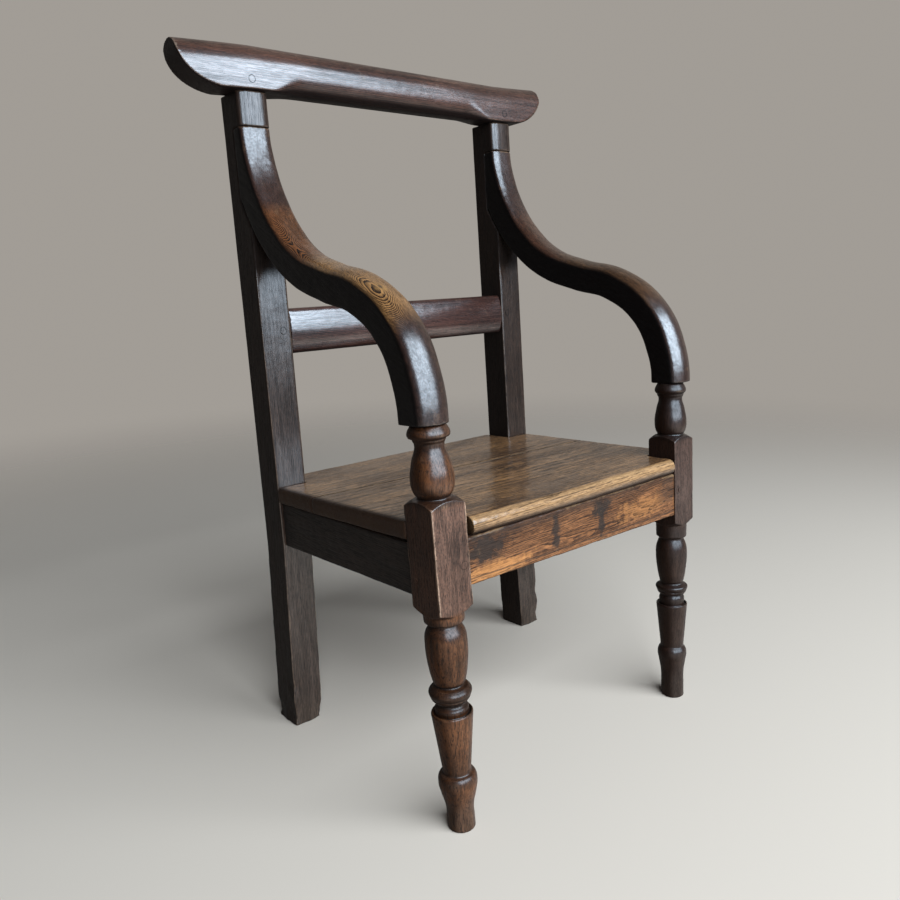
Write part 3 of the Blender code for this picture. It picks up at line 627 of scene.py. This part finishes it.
def block_marks(place, tone, wood):
    shift = from_axis(place)
    # Painted shade: the narrow necks of the turning, close to its axis, are darkened.
    quirk = remap(vector_node("LENGTH", shift), 0.0170, 0.0240, 0.5, 0.0)
    wood = blend(quirk, wood, (0.010, 0.004, 0.002))
    # The belts: dark wax in the quirks and painted shade over necks, block top and vase.
    for low, high, share in WAX_AND_SHADE_BELTS:
        wood = blend(times(belt(place, low, high), share), wood, (0.014, 0.006, 0.004))
    # Painted shade: the far front post is darker all over.
    far_post_shade = band(place, "X", 0.0, 0.1)
    wood = blend(times(far_post_shade, 0.72), wood, (0.014, 0.006, 0.005))
    greyer = blend(tone, (0.020, 0.010, 0.008), (0.175, 0.085, 0.058))
    wood = blend(times(belt(place, 0.310, 0.450), 0.7), wood, greyer)
    # More painted shade on the far post.
    wood = blend(times(far_post_shade, 0.35), wood, (0.014, 0.007, 0.006))
    edge = vector_node("DISTANCE", vector_node("ABSOLUTE", shift), (0.0268, 0.0268, 0.0))
    arris = remap(edge, 0.0009, 0.0025, 1.0, 0.0)
    wood = blend(times(arris, weigh(tone, 1.3, -0.2)), wood, (0.52, 0.31, 0.20))
    return foot_marks(place, tone, wood)


# %% [markdown]
# ## The finishes
# All finishes are the same oak. They differ in the way the grain runs, in how dark the wax is, and in how
# much of it hands, feet and sleeves have taken off. The rails under the seat get darker colours as painted
# shade.

# %% Finishes
UPRIGHT, LEVEL, DEEPWAYS = (0, 90, 0), (0, 0, 0), (0, 0, -90)
# Darker colours for the rails under the seat: painted shade.
UNDER_SEAT_SHADE = dict(deep=(0.012, 0.008, 0.006), light=(0.036, 0.022, 0.016), bare=(0.16, 0.09, 0.06), shade=0.5)
post_oak = oak("post_oak", UPRIGHT, (0.016, 0.008, 0.005), (0.062, 0.032, 0.020), (0.28, 0.18, 0.12),
               rubbed=0.35, coat=0.9, dull_and_shade=arm_joint_shade, pegs=(0.245, 0.651, 0.6), marks=foot_marks)
crest_oak = oak("crest_oak", LEVEL, (0.018, 0.007, 0.005), (0.120, 0.042, 0.022), (0.34, 0.23, 0.16),
                coat=1.0, coat_rough=0.26, rough=0.36, shade=0.95, gloss=2.4, pegs=(0.259, 1.021, 0.8))
middle_oak = oak("middle_oak", LEVEL, (0.018, 0.007, 0.006), (0.095, 0.032, 0.020), (0.28, 0.18, 0.12),
                 coat=1.0, coat_rough=0.2, gloss=2.4)
arm_oak = oak("arm_oak", (-28, 0, -90), (0.008, 0.003, 0.002), (0.060, 0.020, 0.010), (0.30, 0.17, 0.09),
              ring_scale=430.0, wander=4.0, coat=1.0, coat_rough=0.26, rough=0.34, shade=1.0, ringed=0.9,
              gloss=2.3, marks=arm_marks)
turned_oak = oak("turned_oak", UPRIGHT, (0.030, 0.009, 0.002), (0.240, 0.075, 0.018), (0.46, 0.29, 0.17),
                 rubbed=0.7, rough=0.38, coat_rough=0.30, ringed=0.05, flecked=0.5, pored=0.95,
                 fine=(1, 1, 3), dull_and_shade=leg_height, pegs=(0.235, 0.370, 0.4), marks=block_marks)
rail_oak = oak("rail_oak", (0, 1.5, 2), (0.048, 0.017, 0.007), (0.330, 0.124, 0.042), (0.46, 0.27, 0.13),
               rubbed=0.35, coat=0.35, rough=0.45, ring_scale=110.0, wander=38.0, pith=(0.0, 0.238, -0.352),
               ringed=0.35, marks=rail_marks)
side_oak = oak("side_oak", DEEPWAYS, **UNDER_SEAT_SHADE)
hind_oak = oak("hind_oak", LEVEL, **UNDER_SEAT_SHADE)
seat_oak = oak("seat_oak", LEVEL, (0.070, 0.030, 0.013), (0.500, 0.235, 0.085), (0.50, 0.30, 0.15),
               rubbed=0.4, coat=0.85, coat_rough=0.19, gloss=2.0, rough=0.36, ringed=0.2, flecked=1.0,
               dull_and_shade=seat_end_shade, marks=seat_marks)
print("finishes:", len(bpy.data.materials))

# %% [markdown]
# ## The S-shaped arms
# Each arm was sawn from a thick plank to an S, then its top was rounded with a spokeshave: almost flat where
# it meets the rear post, and fully round at the front, where hands hold it. A Bezier curve gives the S. A
# ring of points is set square to the curve at each step, and the rings are skinned. The back of the arm
# lies in a notch in the rear post, so it is cut flat there.

# %% Sections of the arm
ARM_REST = 0.5475  # underside of the arm's front end
ARM_SIDE, ARM_CROWN, ARM_CHAMFER = 0.0364, 0.0155, 0.003
ARM_FRONT, ARM_RUN = 0.0063, REAR_FACE + ARM_CROWN + ARM_SIDE / 2
ARM_HOUSING = 0.026  # depth of the notch in the rear post
ARM_OUT = 0.0042  # the arms stand this much further apart in front
ARM_LIFT = {-1: 0.0045, 1: -0.0035}  # the front ends aren't quite level
ARM_BENDS = ((0.018, 0.125), (0.0925, 0.261), (0.251, 0.367), (0.443, 0.415), (0.636, 0.479),
             (0.785, 0.579), (0.903, 0.715), (0.972, 0.854))
ROUND, FLAT = 2.0, 3.6  # a round crown, and a flat one with soft edges
FLAT_FROM, FLAT_AT = 0.74, 0.88  # heights between which the crown goes from round to flat


def crown(half, rise, power, steps):
    """A half-round arch: across, and up. A power above 2 flattens its middle."""
    points = []
    for step in range(steps + 1):
        turn = math.pi * step / steps
        across = math.copysign(abs(math.cos(turn)) ** (2 / power), -math.cos(turn))
        points.append((half * across, rise * math.sin(turn) ** (2 / power)))
    return points


def arm_section(height):
    """Towards the underside, and across."""
    half, side, chamfer = STOCK / 2, ARM_SIDE / 2, ARM_CHAMFER
    share = min(max((height - FLAT_FROM) / (FLAT_AT - FLAT_FROM), 0.0), 1.0)
    arch = crown(half, ARM_CROWN, ROUND + (FLAT - ROUND) * share, 28)
    return [(-side - up, across) for across, up in arch] + [
        (side - chamfer, half), (side, half - chamfer), (side, chamfer - half), (side - chamfer, -half)]


def notch_section(height):
    half, side = STOCK, ARM_SIDE / 2 + GAP
    return [(-side - STOCK, -half), (-side - STOCK, half), (side, half), (side, -half)]


# %% The path of the arm


def drawn_curve(name, points):
    """A flat Bezier curve through the points."""
    curve = bpy.data.curves.new(name, "CURVE")
    curve.dimensions = "2D"
    knots = curve.splines.new("BEZIER").bezier_points
    knots.add(len(points) - 1)
    for knot, point in zip(knots, points):
        knot.co = (point[0], point[1], 0)
    item = bpy.data.objects.new(name, curve)
    bpy.context.scene.collection.objects.link(item)
    return item


def arm_path(side, margin):
    """Points along the arm's S, as depth and height, from its front end up to the shoulder."""
    rest = ARM_REST + ARM_LIFT[side]
    run, rise = ARM_RUN - ARM_FRONT, SHOULDER - rest
    bends = [(ARM_FRONT + run * along, rest + rise * up) for along, up in ARM_BENDS]
    item = drawn_curve("arm_path", [(ARM_FRONT, rest), *bends, (ARM_RUN, SHOULDER - GAP + margin)])
    knots = item.data.splines[0].bezier_points
    for knot in knots:
        knot.handle_left_type = knot.handle_right_type = "AUTO"
    for knot in (knots[0], knots[-1]):
        knot.handle_left_type = knot.handle_right_type = "FREE"
        knot.handle_left = knot.co - Vector((0, rise * 0.05, 0))
        knot.handle_right = knot.co + Vector((0, rise * 0.05, 0))
    item.data.resolution_u = 14
    item = to_mesh(item)
    path = [Vector(corner.co[:2]) for corner in item.data.vertices]
    bpy.data.objects.remove(item)
    return path


# %% Arms


def arm_sweep(name, side, section, margin):
    """The section swept along the arm's S, cut flat where it lies in the post."""
    path = arm_path(side, margin)
    swing = side * math.atan(ARM_OUT / (ARM_RUN - ARM_FRONT))
    rings = []
    for i, point in enumerate(path):
        ahead = (path[min(i + 1, len(path) - 1)] - path[max(i - 1, 0)]).normalized()
        ring = []
        for down, across in section(point.y):
            depth, height = point.x + ahead.y * down - ARM_RUN, point.y - ahead.x * down
            ring.append((side * POST_MIDDLE - depth * math.sin(swing) + across * math.cos(swing),
                         ARM_RUN + depth * math.cos(swing) + across * math.sin(swing), height))
        rings.append(ring)
    item = lofted(name, rings)
    back = REAR_FACE + ARM_HOUSING + margin
    cut(item, timber("behind", (-1, back, -1), (1, back + 1, 2)))
    return item


for word, side in SIDES:
    arm = arm_sweep(f"{word}_arm", side, arm_section, 0.0)
    age(arm, 0.0018, 5, wave=0.0008, dents=0.0004)
    settle(arm, f"arm_{word}", arm_oak)

# %% [markdown]
# ## Rear posts
# One straight post on each side runs from the floor to the crest rail. Below the seat it kicks out a
# little. The front is notched for the arm, and above the arm the neck is rounded to carry on its line.

# %% Rear posts
LEG_SPLAY, FOOT_OUT = 0.011, 0.009
KNOCKS = ((1, 0, 0.030, 0.030, 0.004), (1, 0, 0.085, 0.020, 0.002), (0, 0, 0.022, 0.026, 0.004),
          (1, 1, 0.030, 0.026, 0.003))  # which corner, out and back, then height, reach and depth


def rear_post(name, side):
    drop = RAIL_BOTTOM + REAR_BACK * math.tan(LEAN)
    kick = LEG_SPLAY / RAIL_BOTTOM * drop
    outline = [(side * HALF_WIDTH, POST_TOP), (side * HALF_WIDTH, RAIL_BOTTOM),
               (side * (HALF_WIDTH + kick), RAIL_BOTTOM - drop), (side * (INNER + kick), RAIL_BOTTOM - drop),
               (side * INNER, RAIL_BOTTOM), (side * INNER, POST_TOP)]
    post = sawn(name, outline, REAR_FACE, REAR_BACK, "y")
    middle = side * POST_MIDDLE
    waste = [(middle + across, REAR_FACE + ARM_CROWN - up)
             for across, up in crown(STOCK / 2, ARM_CROWN, FLAT, 28)]
    waste += [(middle + STOCK, REAR_FACE + ARM_CROWN), (middle + STOCK, REAR_FACE - STOCK),
              (middle - STOCK, REAR_FACE - STOCK), (middle - STOCK, REAR_FACE + ARM_CROWN)]
    cut(post, sawn("neck_waste", waste, SHOULDER - GAP, 2.0, "z"))
    cut(post, arm_sweep("arm_notch", side, notch_section, GAP))
    trim_at_floor(post)
    return post


for word, side in SIDES:
    post = rear_post(f"{word}_rear_post", side)
    age(post, 0.0018, 8, wave=0.0004, dents=0.0002, patchy=0.25)
    for out, back, height, reach, push in KNOCKS:
        x = HALF_WIDTH + FOOT_OUT - STOCK * (1 - out)
        chip(post, (side * x, REAR_BACK if back else REAR_FACE, height), reach,
             (side * push * (1 - 2 * out), push * (1 - 2 * back), 0.0))
    settle(post, f"rear_post_{word}", post_oak)

# %% [markdown]
# ## Crest rail
# The crest is a fat bolster. Over the posts its front is square at the bottom, and between them the lower
# edge is rolled, with a short run-out at each end. The underside sweeps up at both ends like a boat.

# %% Section of the crest rail
CREST_TALL, CREST_HALF, CREST_END, CREST_RISE = 0.069, 0.360, 0.077, 0.056
CREST_FACE, CREST_BACK = REAR_FACE - 0.0062, REAR_BACK - 0.012
CREST_FLAT, CREST_ROUND, CREST_ARRIS, CREST_RAISE = 0.031, 0.018, 0.002, 0.0035
CREST_ROLL, CREST_ROLL_IN, CREST_RIDGE = 0.034, 0.022, 0.58
CREST_HOLLOW, CREST_STOP = Vector((0.019, 0.006)), 0.066
CREST_DROOP, CREST_LIFT, CREST_LONGER = 0.006, 0.005, 0.008


def quarter(steps, first=0):
    """The angles of a quarter turn, in even steps."""
    return [math.pi / 2 * step / steps for step in range(first, steps + 1)]


def crest_section(share):
    """Depth and height. The share is 0 over the posts and 1 between them."""
    low, top = POST_TOP + GAP, POST_TOP + GAP + CREST_TALL
    ridge = CREST_FACE + (CREST_BACK - CREST_FACE) * CREST_RIDGE
    roll, into = (CREST_ARRIS + (size - CREST_ARRIS) * share for size in (CREST_ROLL, CREST_ROLL_IN))
    flat = low + CREST_FLAT + CREST_RAISE * share
    points = [(CREST_BACK, low + CREST_HOLLOW.y * share), (CREST_BACK - CREST_HOLLOW.x, low)]
    for turn in quarter(10):
        points.append((CREST_FACE + into * (1 - math.sin(turn)), low + roll * (1 - math.cos(turn))))
    for turn in quarter(16, 1):
        points.append((ridge - (ridge - CREST_FACE) * math.cos(turn), flat + (top - flat) * math.sin(turn)))
    for turn in quarter(8, 1):
        depth = ridge + (CREST_BACK - ridge) * math.sin(turn)
        points.append((depth, top - CREST_ROUND * (1 - math.cos(turn))))
    return points


# %% Crest rail
BEND_FROM = 0.25  # the ends bend from here on
stop_out = INNER + 0.002
half = [CREST_HALF + CREST_LONGER] + [stop_out - CREST_STOP * step / 14 for step in range(15)]
crest_rings = []
for x in [-x for x in half] + half[::-1]:
    share = min(max((stop_out - abs(x)) / CREST_STOP, 0.0), 1.0)
    swept = share * share * (3 - 2 * share)
    crest_rings.append([(x, depth, height) for depth, height in crest_section(swept)])
crest = lofted("crest", crest_rings)
low, tip = POST_TOP + GAP - 0.0012, POST_TOP + CREST_TALL
boat = [(CREST_HALF, tip + 0.5)]
for turn in quarter(24):
    boat.append((CREST_HALF - CREST_END * (1 - math.cos(turn)), low + CREST_RISE * (1 - math.sin(turn))))
boat += [(-x, z) for x, z in reversed(boat)]
cut(crest, sawn("boat", boat, 0.0, 1.0, "y"), "INTERSECT")
age(crest, 0.0018, 6, wave=0.0002, dents=0.00015)
for corner in crest.data.vertices:
    out = max(abs(corner.co.x) - BEND_FROM, 0.0) / (CREST_HALF - BEND_FROM)
    if corner.co.x < 0:
        corner.co.z -= CREST_DROOP * out ** 1.2
        corner.co.x -= CREST_LONGER * out
    else:
        corner.co.z += CREST_LIFT * out ** 1.2
settle(crest, "crest_rail", crest_oak)

# %% [markdown]
# ## Middle rail
# A single rail ties the posts at back height. Its front is half round and worn smooth by backs.

# %% Middle rail
MIDDLE_LOW, MIDDLE_TALL, MIDDLE_THICK, MIDDLE_FALL = 0.632, 0.071, 0.030, 0.010
centre = MIDDLE_LOW + MIDDLE_TALL / 2
outline = [(REAR_FACE + MIDDLE_THICK, MIDDLE_LOW + MIDDLE_TALL), (REAR_FACE + MIDDLE_THICK, MIDDLE_LOW)]
for across, fall in crown(MIDDLE_TALL / 2, MIDDLE_FALL, ROUND, 28):
    outline.append((REAR_FACE + MIDDLE_FALL - fall, centre + across))
middle = sawn("middle_rail", outline, -INNER + GAP, INNER - GAP, "x")
age(middle, 0.002, 3, wave=0.0003, dents=0.0002)
settle(middle, "mid_rail", middle_oak)

# %% [markdown]
# ## Front posts
# Leg, square block and arm support are one piece of oak, turned on a pole lathe by eye, so the two posts
# are not quite alike. Each has its own list of marks down the leg, as a turner keeps on a stick. A profile
# is spun round its axis, and then the block is sawn square, which gives it its curved shoulders for free.

# %% Profiles of the front posts
FRONT_SPLAY = math.radians(1.15)
BLOCK_LOW, BLOCK_TOP, POMMEL = 0.3145, 0.4495, 0.007
NECK, BASE = 0.0185, 0.0200
SOFT = "AUTO"  # the handles of a corner where the curve runs on
TURNER_MARKS = {
    "left": dict(wide=0.028, square=0.0555, nudge=0.002, swell=0.032, collar=0.0195, belly=0.050,
                 waist=0.108, ring=0.118, quirk=0.1335, rim=0.148, taper=0.2315, knob=0.2475, ankle=0.283),
    "right": dict(wide=0.0255, square=0.051, nudge=-0.003, swell=0.029, collar=0.030, belly=0.055,
                  waist=0.1125, ring=0.1195, quirk=0.131, rim=0.150, taper=0.224, knob=0.238, ankle=0.272),
}


def vase_profile(rest, wide, square, swell):
    """Radius and height of each corner, and whether it is soft: the arm support, from the top down."""
    top = rest - GAP - wide * math.tan(FRONT_SPLAY)
    return [
        (0.0, top), (wide * 0.80, top), (wide * 0.985, top - 0.0115, SOFT), (wide * 0.93, top - 0.0155),
        (NECK * 1.15, top - 0.0165), (NECK * 1.15, top - 0.0195), (NECK * 1.03, top - 0.0235, SOFT),
        (wide * 0.88, BLOCK_TOP + swell + 0.0235, SOFT), (wide * 1.01, BLOCK_TOP + swell, SOFT),
        (wide * 0.92, BLOCK_TOP + swell - 0.0146, SOFT), (BASE, BLOCK_TOP + 0.0085),
        (square / 2, BLOCK_TOP + POMMEL),
    ]


def leg_profile(wide, square, collar, belly, waist, ring, quirk, rim, taper, knob, ankle):
    """The same for block and leg. The marks are measured down from the underside of the block."""
    corner = square / math.sqrt(2) + 0.0005
    marks = [
        (corner, BLOCK_LOW - BLOCK_TOP), (corner, 0.0), (square / 2, POMMEL), (square * 0.49, 0.009),
        (square * 0.48, collar), (BASE, collar + 0.0012), (BASE, collar + 0.0045),
        (wide * 0.93, collar + 0.014, SOFT), (wide, belly, SOFT),
        (wide * 0.90, belly + 0.63 * (waist - belly), SOFT), (wide * 0.77, waist - 0.004),
        (NECK, waist - 0.002), (NECK, waist), (wide * 0.86, waist + 0.002), (wide * 1.025, ring - 0.002, SOFT),
        (wide * 0.985, ring + 0.0040), (wide * 0.89, ring + 0.0056), (wide * 0.95, ring + 0.0070),
        (wide * 0.86, ring + 0.0105), (NECK, quirk - 0.001), (NECK, quirk + 0.002),
        (wide * 0.80, quirk + 0.006, SOFT), (wide * 0.80, rim - 0.003), (wide * 0.78, rim + 0.001),
        (wide * 0.89, rim + 0.001), (wide * 0.92, rim - 0.0022), (wide * 0.985, rim - 0.0016),
        (wide, rim + 0.0005), (wide * 0.985, rim + 0.0040),
        (NECK * 1.03, taper), (NECK * 1.03, taper + 0.0016), (wide * 0.86, taper + 0.0045, SOFT),
        (wide * 0.945, knob, SOFT), (wide * 0.87, knob + 0.0125, SOFT), (NECK * 1.03, ankle, SOFT),
        (NECK * 1.02, 0.300, SOFT), (NECK * 1.06, BLOCK_LOW + STOCK), (0.0, BLOCK_LOW + STOCK),
    ]
    return [(radius, BLOCK_LOW - down, *soft) for radius, down, *soft in marks]


# %% Front posts


def front_post(name, side, wide, square, nudge, swell, **leg_marks):
    profile = vase_profile(ARM_REST + ARM_LIFT[side], wide, square, swell)
    profile += leg_profile(wide, square, **leg_marks)
    item = drawn_curve(name, profile)
    item.data.resolution_u = 6
    for knot, corner in zip(item.data.splines[0].bezier_points, profile):
        knot.handle_left_type = knot.handle_right_type = SOFT if SOFT in corner else "VECTOR"
    item.rotation_euler.x = math.pi / 2
    item = to_mesh(item)
    freeze(item)
    edit(item)
    bpy.ops.mesh.spin(steps=96, angle=2 * math.pi, center=(0, 0, 0), axis=(0, 0, 1))
    bpy.ops.mesh.select_all(action="SELECT")
    bpy.ops.mesh.remove_doubles(threshold=0.00002)
    close()
    half, sawn_low, sawn_top = square / 2, BLOCK_LOW - POMMEL * 1.1, BLOCK_TOP + POMMEL * 1.1
    waste = timber("waste", (-STOCK, -STOCK, sawn_low), (STOCK, STOCK, sawn_top))
    cut(waste, timber("kept_square", (-half, -half, 0.0), (half, half, 1.0)))
    cut(item, waste)
    item.location.x = side * (POST_MIDDLE - SEAT_TOP * math.tan(FRONT_SPLAY)) + nudge
    item.rotation_euler.y = side * FRONT_SPLAY
    freeze(item)
    trim_at_floor(item)
    return item


for word, side in SIDES:
    post = front_post(f"{word}_front_post", side, **TURNER_MARKS[word])
    age(post, 0.0012, 2, wave=0.0005, dents=0.0002, full=0.0002)
    settle(post, f"front_post_{word}", turned_oak)

# %% [markdown]
# ## Seat rails
# Four rails under the seat hold the legs apart. The front one has taken the most kicks, and its ends are
# cut to the slight slope of the front posts.

# %% Seat rails
FRONT_INSET, SIDE_INSET, HIND_INSET = 0.002, 0.005, 0.006  # rails lie this far behind the posts' faces
END_RISE, END_CURL = 0.004, 0.010  # the front rail's left end is higher, its lower edge most of all


def front_inner(height):
    """Half the room between the front posts."""
    axis = POST_MIDDLE + (height - SEAT_TOP) * math.tan(FRONT_SPLAY)
    return axis - STOCK / 2 / math.cos(FRONT_SPLAY) - GAP


face = -STOCK / 2 + FRONT_INSET
foot, head = front_inner(RAIL_BOTTOM), front_inner(RAIL_TOP)
outline = [(-head, RAIL_TOP + END_RISE), (-foot, RAIL_BOTTOM + END_CURL), (foot, RAIL_BOTTOM),
           (head, RAIL_TOP)]
front_rail = sawn("front_rail", outline, face, face + RAIL_THICK, "y")
age(front_rail, 0.002, 5, wave=0.0014, dents=0.0007)
settle(front_rail, "front_seat_rail", rail_oak)
hind_face = REAR_BACK - HIND_INSET
hind_rail = timber("hind_rail", (-INNER + GAP, hind_face - RAIL_THICK, RAIL_BOTTOM),
                   (INNER - GAP, hind_face, RAIL_TOP))
age(hind_rail, 0.002, 3)
settle(hind_rail, "back_seat_rail", hind_oak)
for word, side in SIDES:
    outer = side * (HALF_WIDTH - SIDE_INSET)
    inner = side * (HALF_WIDTH - SIDE_INSET - RAIL_THICK)
    rail = timber(f"{word}_side_rail", (min(outer, inner), STOCK / 2 + GAP, RAIL_BOTTOM),
                  (max(outer, inner), REAR_FACE - GAP, RAIL_TOP))
    age(rail, 0.002, 3)
    settle(rail, f"side_seat_rail_{word}", side_oak)

# %% [markdown]
# ## Seat boards
# Two wide boards lie across the rails. The front one has a rolled edge in front, rubbed pale by legs, and
# both are notched round the posts.

# %% Shaping a seat board
SEAT_JOINT, NOSING, OVERHANG = 0.238, 0.0035, 0.006
SEAT_HALF = HALF_WIDTH + 0.002
END_ROUND, TOUCHING = 0.006, 0.0001
NOTCH_GAPS = ((-1, 0.0145), (1, 0.0065))  # room beside each front post
NOTCH_ROOM, BLOCK_ROOM = 0.001, 0.002
BOARD_LIFT = 0.020  # rise of the front board's left corner for each metre from the middle
TWIST_FROM, TWIST_TO, TWIST_MIDDLE = 0.10, 0.36, -0.02  # the boards follow their slanting joint between these


def soften(board, wanted, width, segments):
    """Bevels the edges whose middle and direction are wanted."""
    edit(board)
    bpy.ops.mesh.select_mode(type="EDGE")
    bpy.ops.mesh.select_all(action="DESELECT")
    bpy.ops.object.mode_set(mode="OBJECT")
    for edge in board.data.edges:
        first, second = (board.data.vertices[i].co for i in edge.vertices)
        edge.select = wanted((first + second) / 2, second - first)
    bpy.ops.object.mode_set(mode="EDIT")
    bpy.ops.mesh.bevel(offset=width, segments=segments)
    close()


def seat_board(name, front, back, rolled):
    """A board with rounded ends and, in front, a rolled edge."""
    board = timber(name, (-SEAT_HALF, front, SEAT_TOP - SEAT_THICK), (SEAT_HALF, back, SEAT_TOP))
    if rolled:
        soften(board, lambda middle, run: abs(middle.y - front) < TOUCHING and abs(run.x) > 0.1,
               SEAT_THICK * 0.44, 6)
    soften(board, lambda middle, run: abs(middle.x) > SEAT_HALF - TOUCHING and abs(run.y) > 0.1, END_ROUND, 4)
    return board


# %% Seat boards
front_board = seat_board("front_seat_board", -STOCK / 2 - NOSING, SEAT_JOINT - GAP, True)
rear_board = seat_board("rear_seat_board", SEAT_JOINT, REAR_BACK + OVERHANG, False)
for side, gap in NOTCH_GAPS:
    near, far = sorted((side * (INNER - gap), side))
    cut(front_board, timber("notch", (near, -1, 0), (far, STOCK / 2 + BLOCK_ROOM, 1)))
    near, far = sorted((side * (INNER - NOTCH_ROOM), side))
    cut(rear_board, timber("notch", (near, REAR_FACE - NOTCH_ROOM, 0), (far, 1, 1)))
age(front_board, 0.0022, 5, wave=0.0014, dents=0.0005)
age(rear_board, 0.0022, 4, wave=0.0014, dents=0.0005)
for corner in front_board.data.vertices:
    x, y = corner.co.x, corner.co.y
    corner.co.z += BOARD_LIFT * max(-x, 0.0) * (1 - max(y, 0.0) / SEAT_JOINT)
    share = max(y - TWIST_FROM, 0.0) / (SEAT_JOINT - TWIST_FROM)
    corner.co.y -= JOINT_SLANT * (x - TWIST_MIDDLE) * share
for corner in rear_board.data.vertices:
    share = max(TWIST_TO - corner.co.y, 0.0) / (TWIST_TO - SEAT_JOINT)
    corner.co.y -= JOINT_SLANT * (corner.co.x - TWIST_MIDDLE) * share
settle(front_board, "seat_board_front", seat_oak)
settle(rear_board, "seat_board_rear", seat_oak)

# %% [markdown]
# ## Pegs and nails
# Round oak pegs lock the joints, and dark iron nails hold the seat down. Their CAD shapes are right as they
# are, so only their finish changes: a peg is cut from the same oak and waxed with the piece it sits in.

# %% Pegs and nails
iron, tree = new_finish("old_iron")
rust = mottle(add(tree, "ShaderNodeTexCoord").outputs["Object"], 4.0, 0.5, 900.0)
pit = join("ShaderNodeBump", {"Height": rust, "Strength": 0.3, "Distance": 0.0003})
feed(tree.nodes["Principled BSDF"], {
    "Base Color": blend(rust, (0.010, 0.008, 0.007), (0.035, 0.022, 0.016)),
    "Roughness": remap(rust, 0.2, 0.8, 0.45, 0.75), "Metallic": 0.6, "Normal": pit.outputs[0]})
PEG_HOSTS = {"crest_peg": crest_oak, "front_rail_peg": turned_oak, "side_rail_peg_front": turned_oak,
             "side_rail_peg_rear": post_oak, "back_rail_peg": post_oak, "mid_rail_peg": post_oak,
             "arm_peg": post_oak, "seat_nail": iron}
for name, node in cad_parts.items():
    for start, finish in PEG_HOSTS.items():
        if name.startswith(start):
            node.data.materials.clear()
            node.data.materials.append(finish)
            print(name, "in", finish.name)

# %% [markdown]
# ## Floor, light and camera
# A pale floor that fades into a pale background keeps the eye on the chair. The light is one large soft
# window, in front and to the right, with a weak sky for the shadows. The camera stands at the front left
# corner, a little above seat height.

# %% Floor
bpy.ops.mesh.primitive_circle_add(vertices=96, radius=6.0, fill_type="NGON", location=(0, 0, -0.0005))
floor = bpy.context.object
floor.name = "floor"
floor_paint, tree = new_finish("floor_paint")
paint = feed(tree.nodes["Principled BSDF"],
             {"Base Color": (0.76, 0.62, 0.50, 1), "Roughness": 0.85, "Specular IOR Level": 0.1})
far = vector_node("LENGTH", add(tree, "ShaderNodeTexCoord").outputs["Object"])
clear = add(tree, "ShaderNodeBsdfTransparent")
fade = join("ShaderNodeMixShader", {0: remap(far, 1.2, 3.6), 1: paint.outputs[0], 2: clear.outputs[0]})
feed(tree.nodes["Material Output"], {0: fade.outputs[0]})
floor.data.materials.append(floor_paint)
print("floor radius:", floor.dimensions.x / 2)

# %% Sky
world = bpy.data.worlds.new("studio")
bpy.context.scene.world = world
world.use_nodes = True
tree = world.node_tree
path = add(tree, "ShaderNodeLightPath").outputs
backdrop = feed(tree.nodes["Background"], {"Color": (0.36, 0.335, 0.305, 1)})
sky = add(tree, "ShaderNodeBackground", {"Color": (0.80, 0.90, 1.0, 1), "Strength": 0.06})
towards = add(tree, "ShaderNodeTexCoord").outputs["Generated"]
ahead = remap(vector_node("DOT_PRODUCT", towards, (0.65, 0.76, 0.0)), 0.0, 0.6)
mirrored = math_node("MAXIMUM", path["Is Glossy Ray"], path["Is Transmission Ray"])
shown = math_node("MAXIMUM", path["Is Camera Ray"], times(mirrored, ahead))
mix = join("ShaderNodeMixShader", {0: shown, 1: sky.outputs[0], 2: backdrop.outputs[0]})
feed(tree.nodes["World Output"], {0: mix.outputs[0]})

# %% The window
window_at, window_aim = Vector((0.10, -2.9, 2.2)), Vector((0.10, 0, 1.1))
bpy.ops.object.light_add(type="AREA", location=window_at,
                         rotation=(window_aim - window_at).to_track_quat("-Z", "Y").to_euler())
item = bpy.context.object
item.name = "window"
item.data.shape = "RECTANGLE"
item.data.size, item.data.size_y = 4.7, 2.9
item.data.energy = 335.0
item.data.color = (0.70, 0.85, 1.0)
item.visible_camera = False

# %% Camera
bpy.ops.object.camera_add(location=(-0.85260, -0.94802, 0.73525),
                          rotation=[math.radians(a) for a in (78.5468, 1.8285, -40.8546)])
camera = bpy.context.object
camera.data.sensor_width = 36.0
camera.data.lens = 31.680
camera.data.shift_x, camera.data.shift_y = -0.00662, -0.02157
camera.data.clip_start = 0.01
bpy.context.scene.camera = camera
bpy.context.scene.view_settings.view_transform = "Standard"
print("lens:", round(camera.data.lens, 2), "mm")
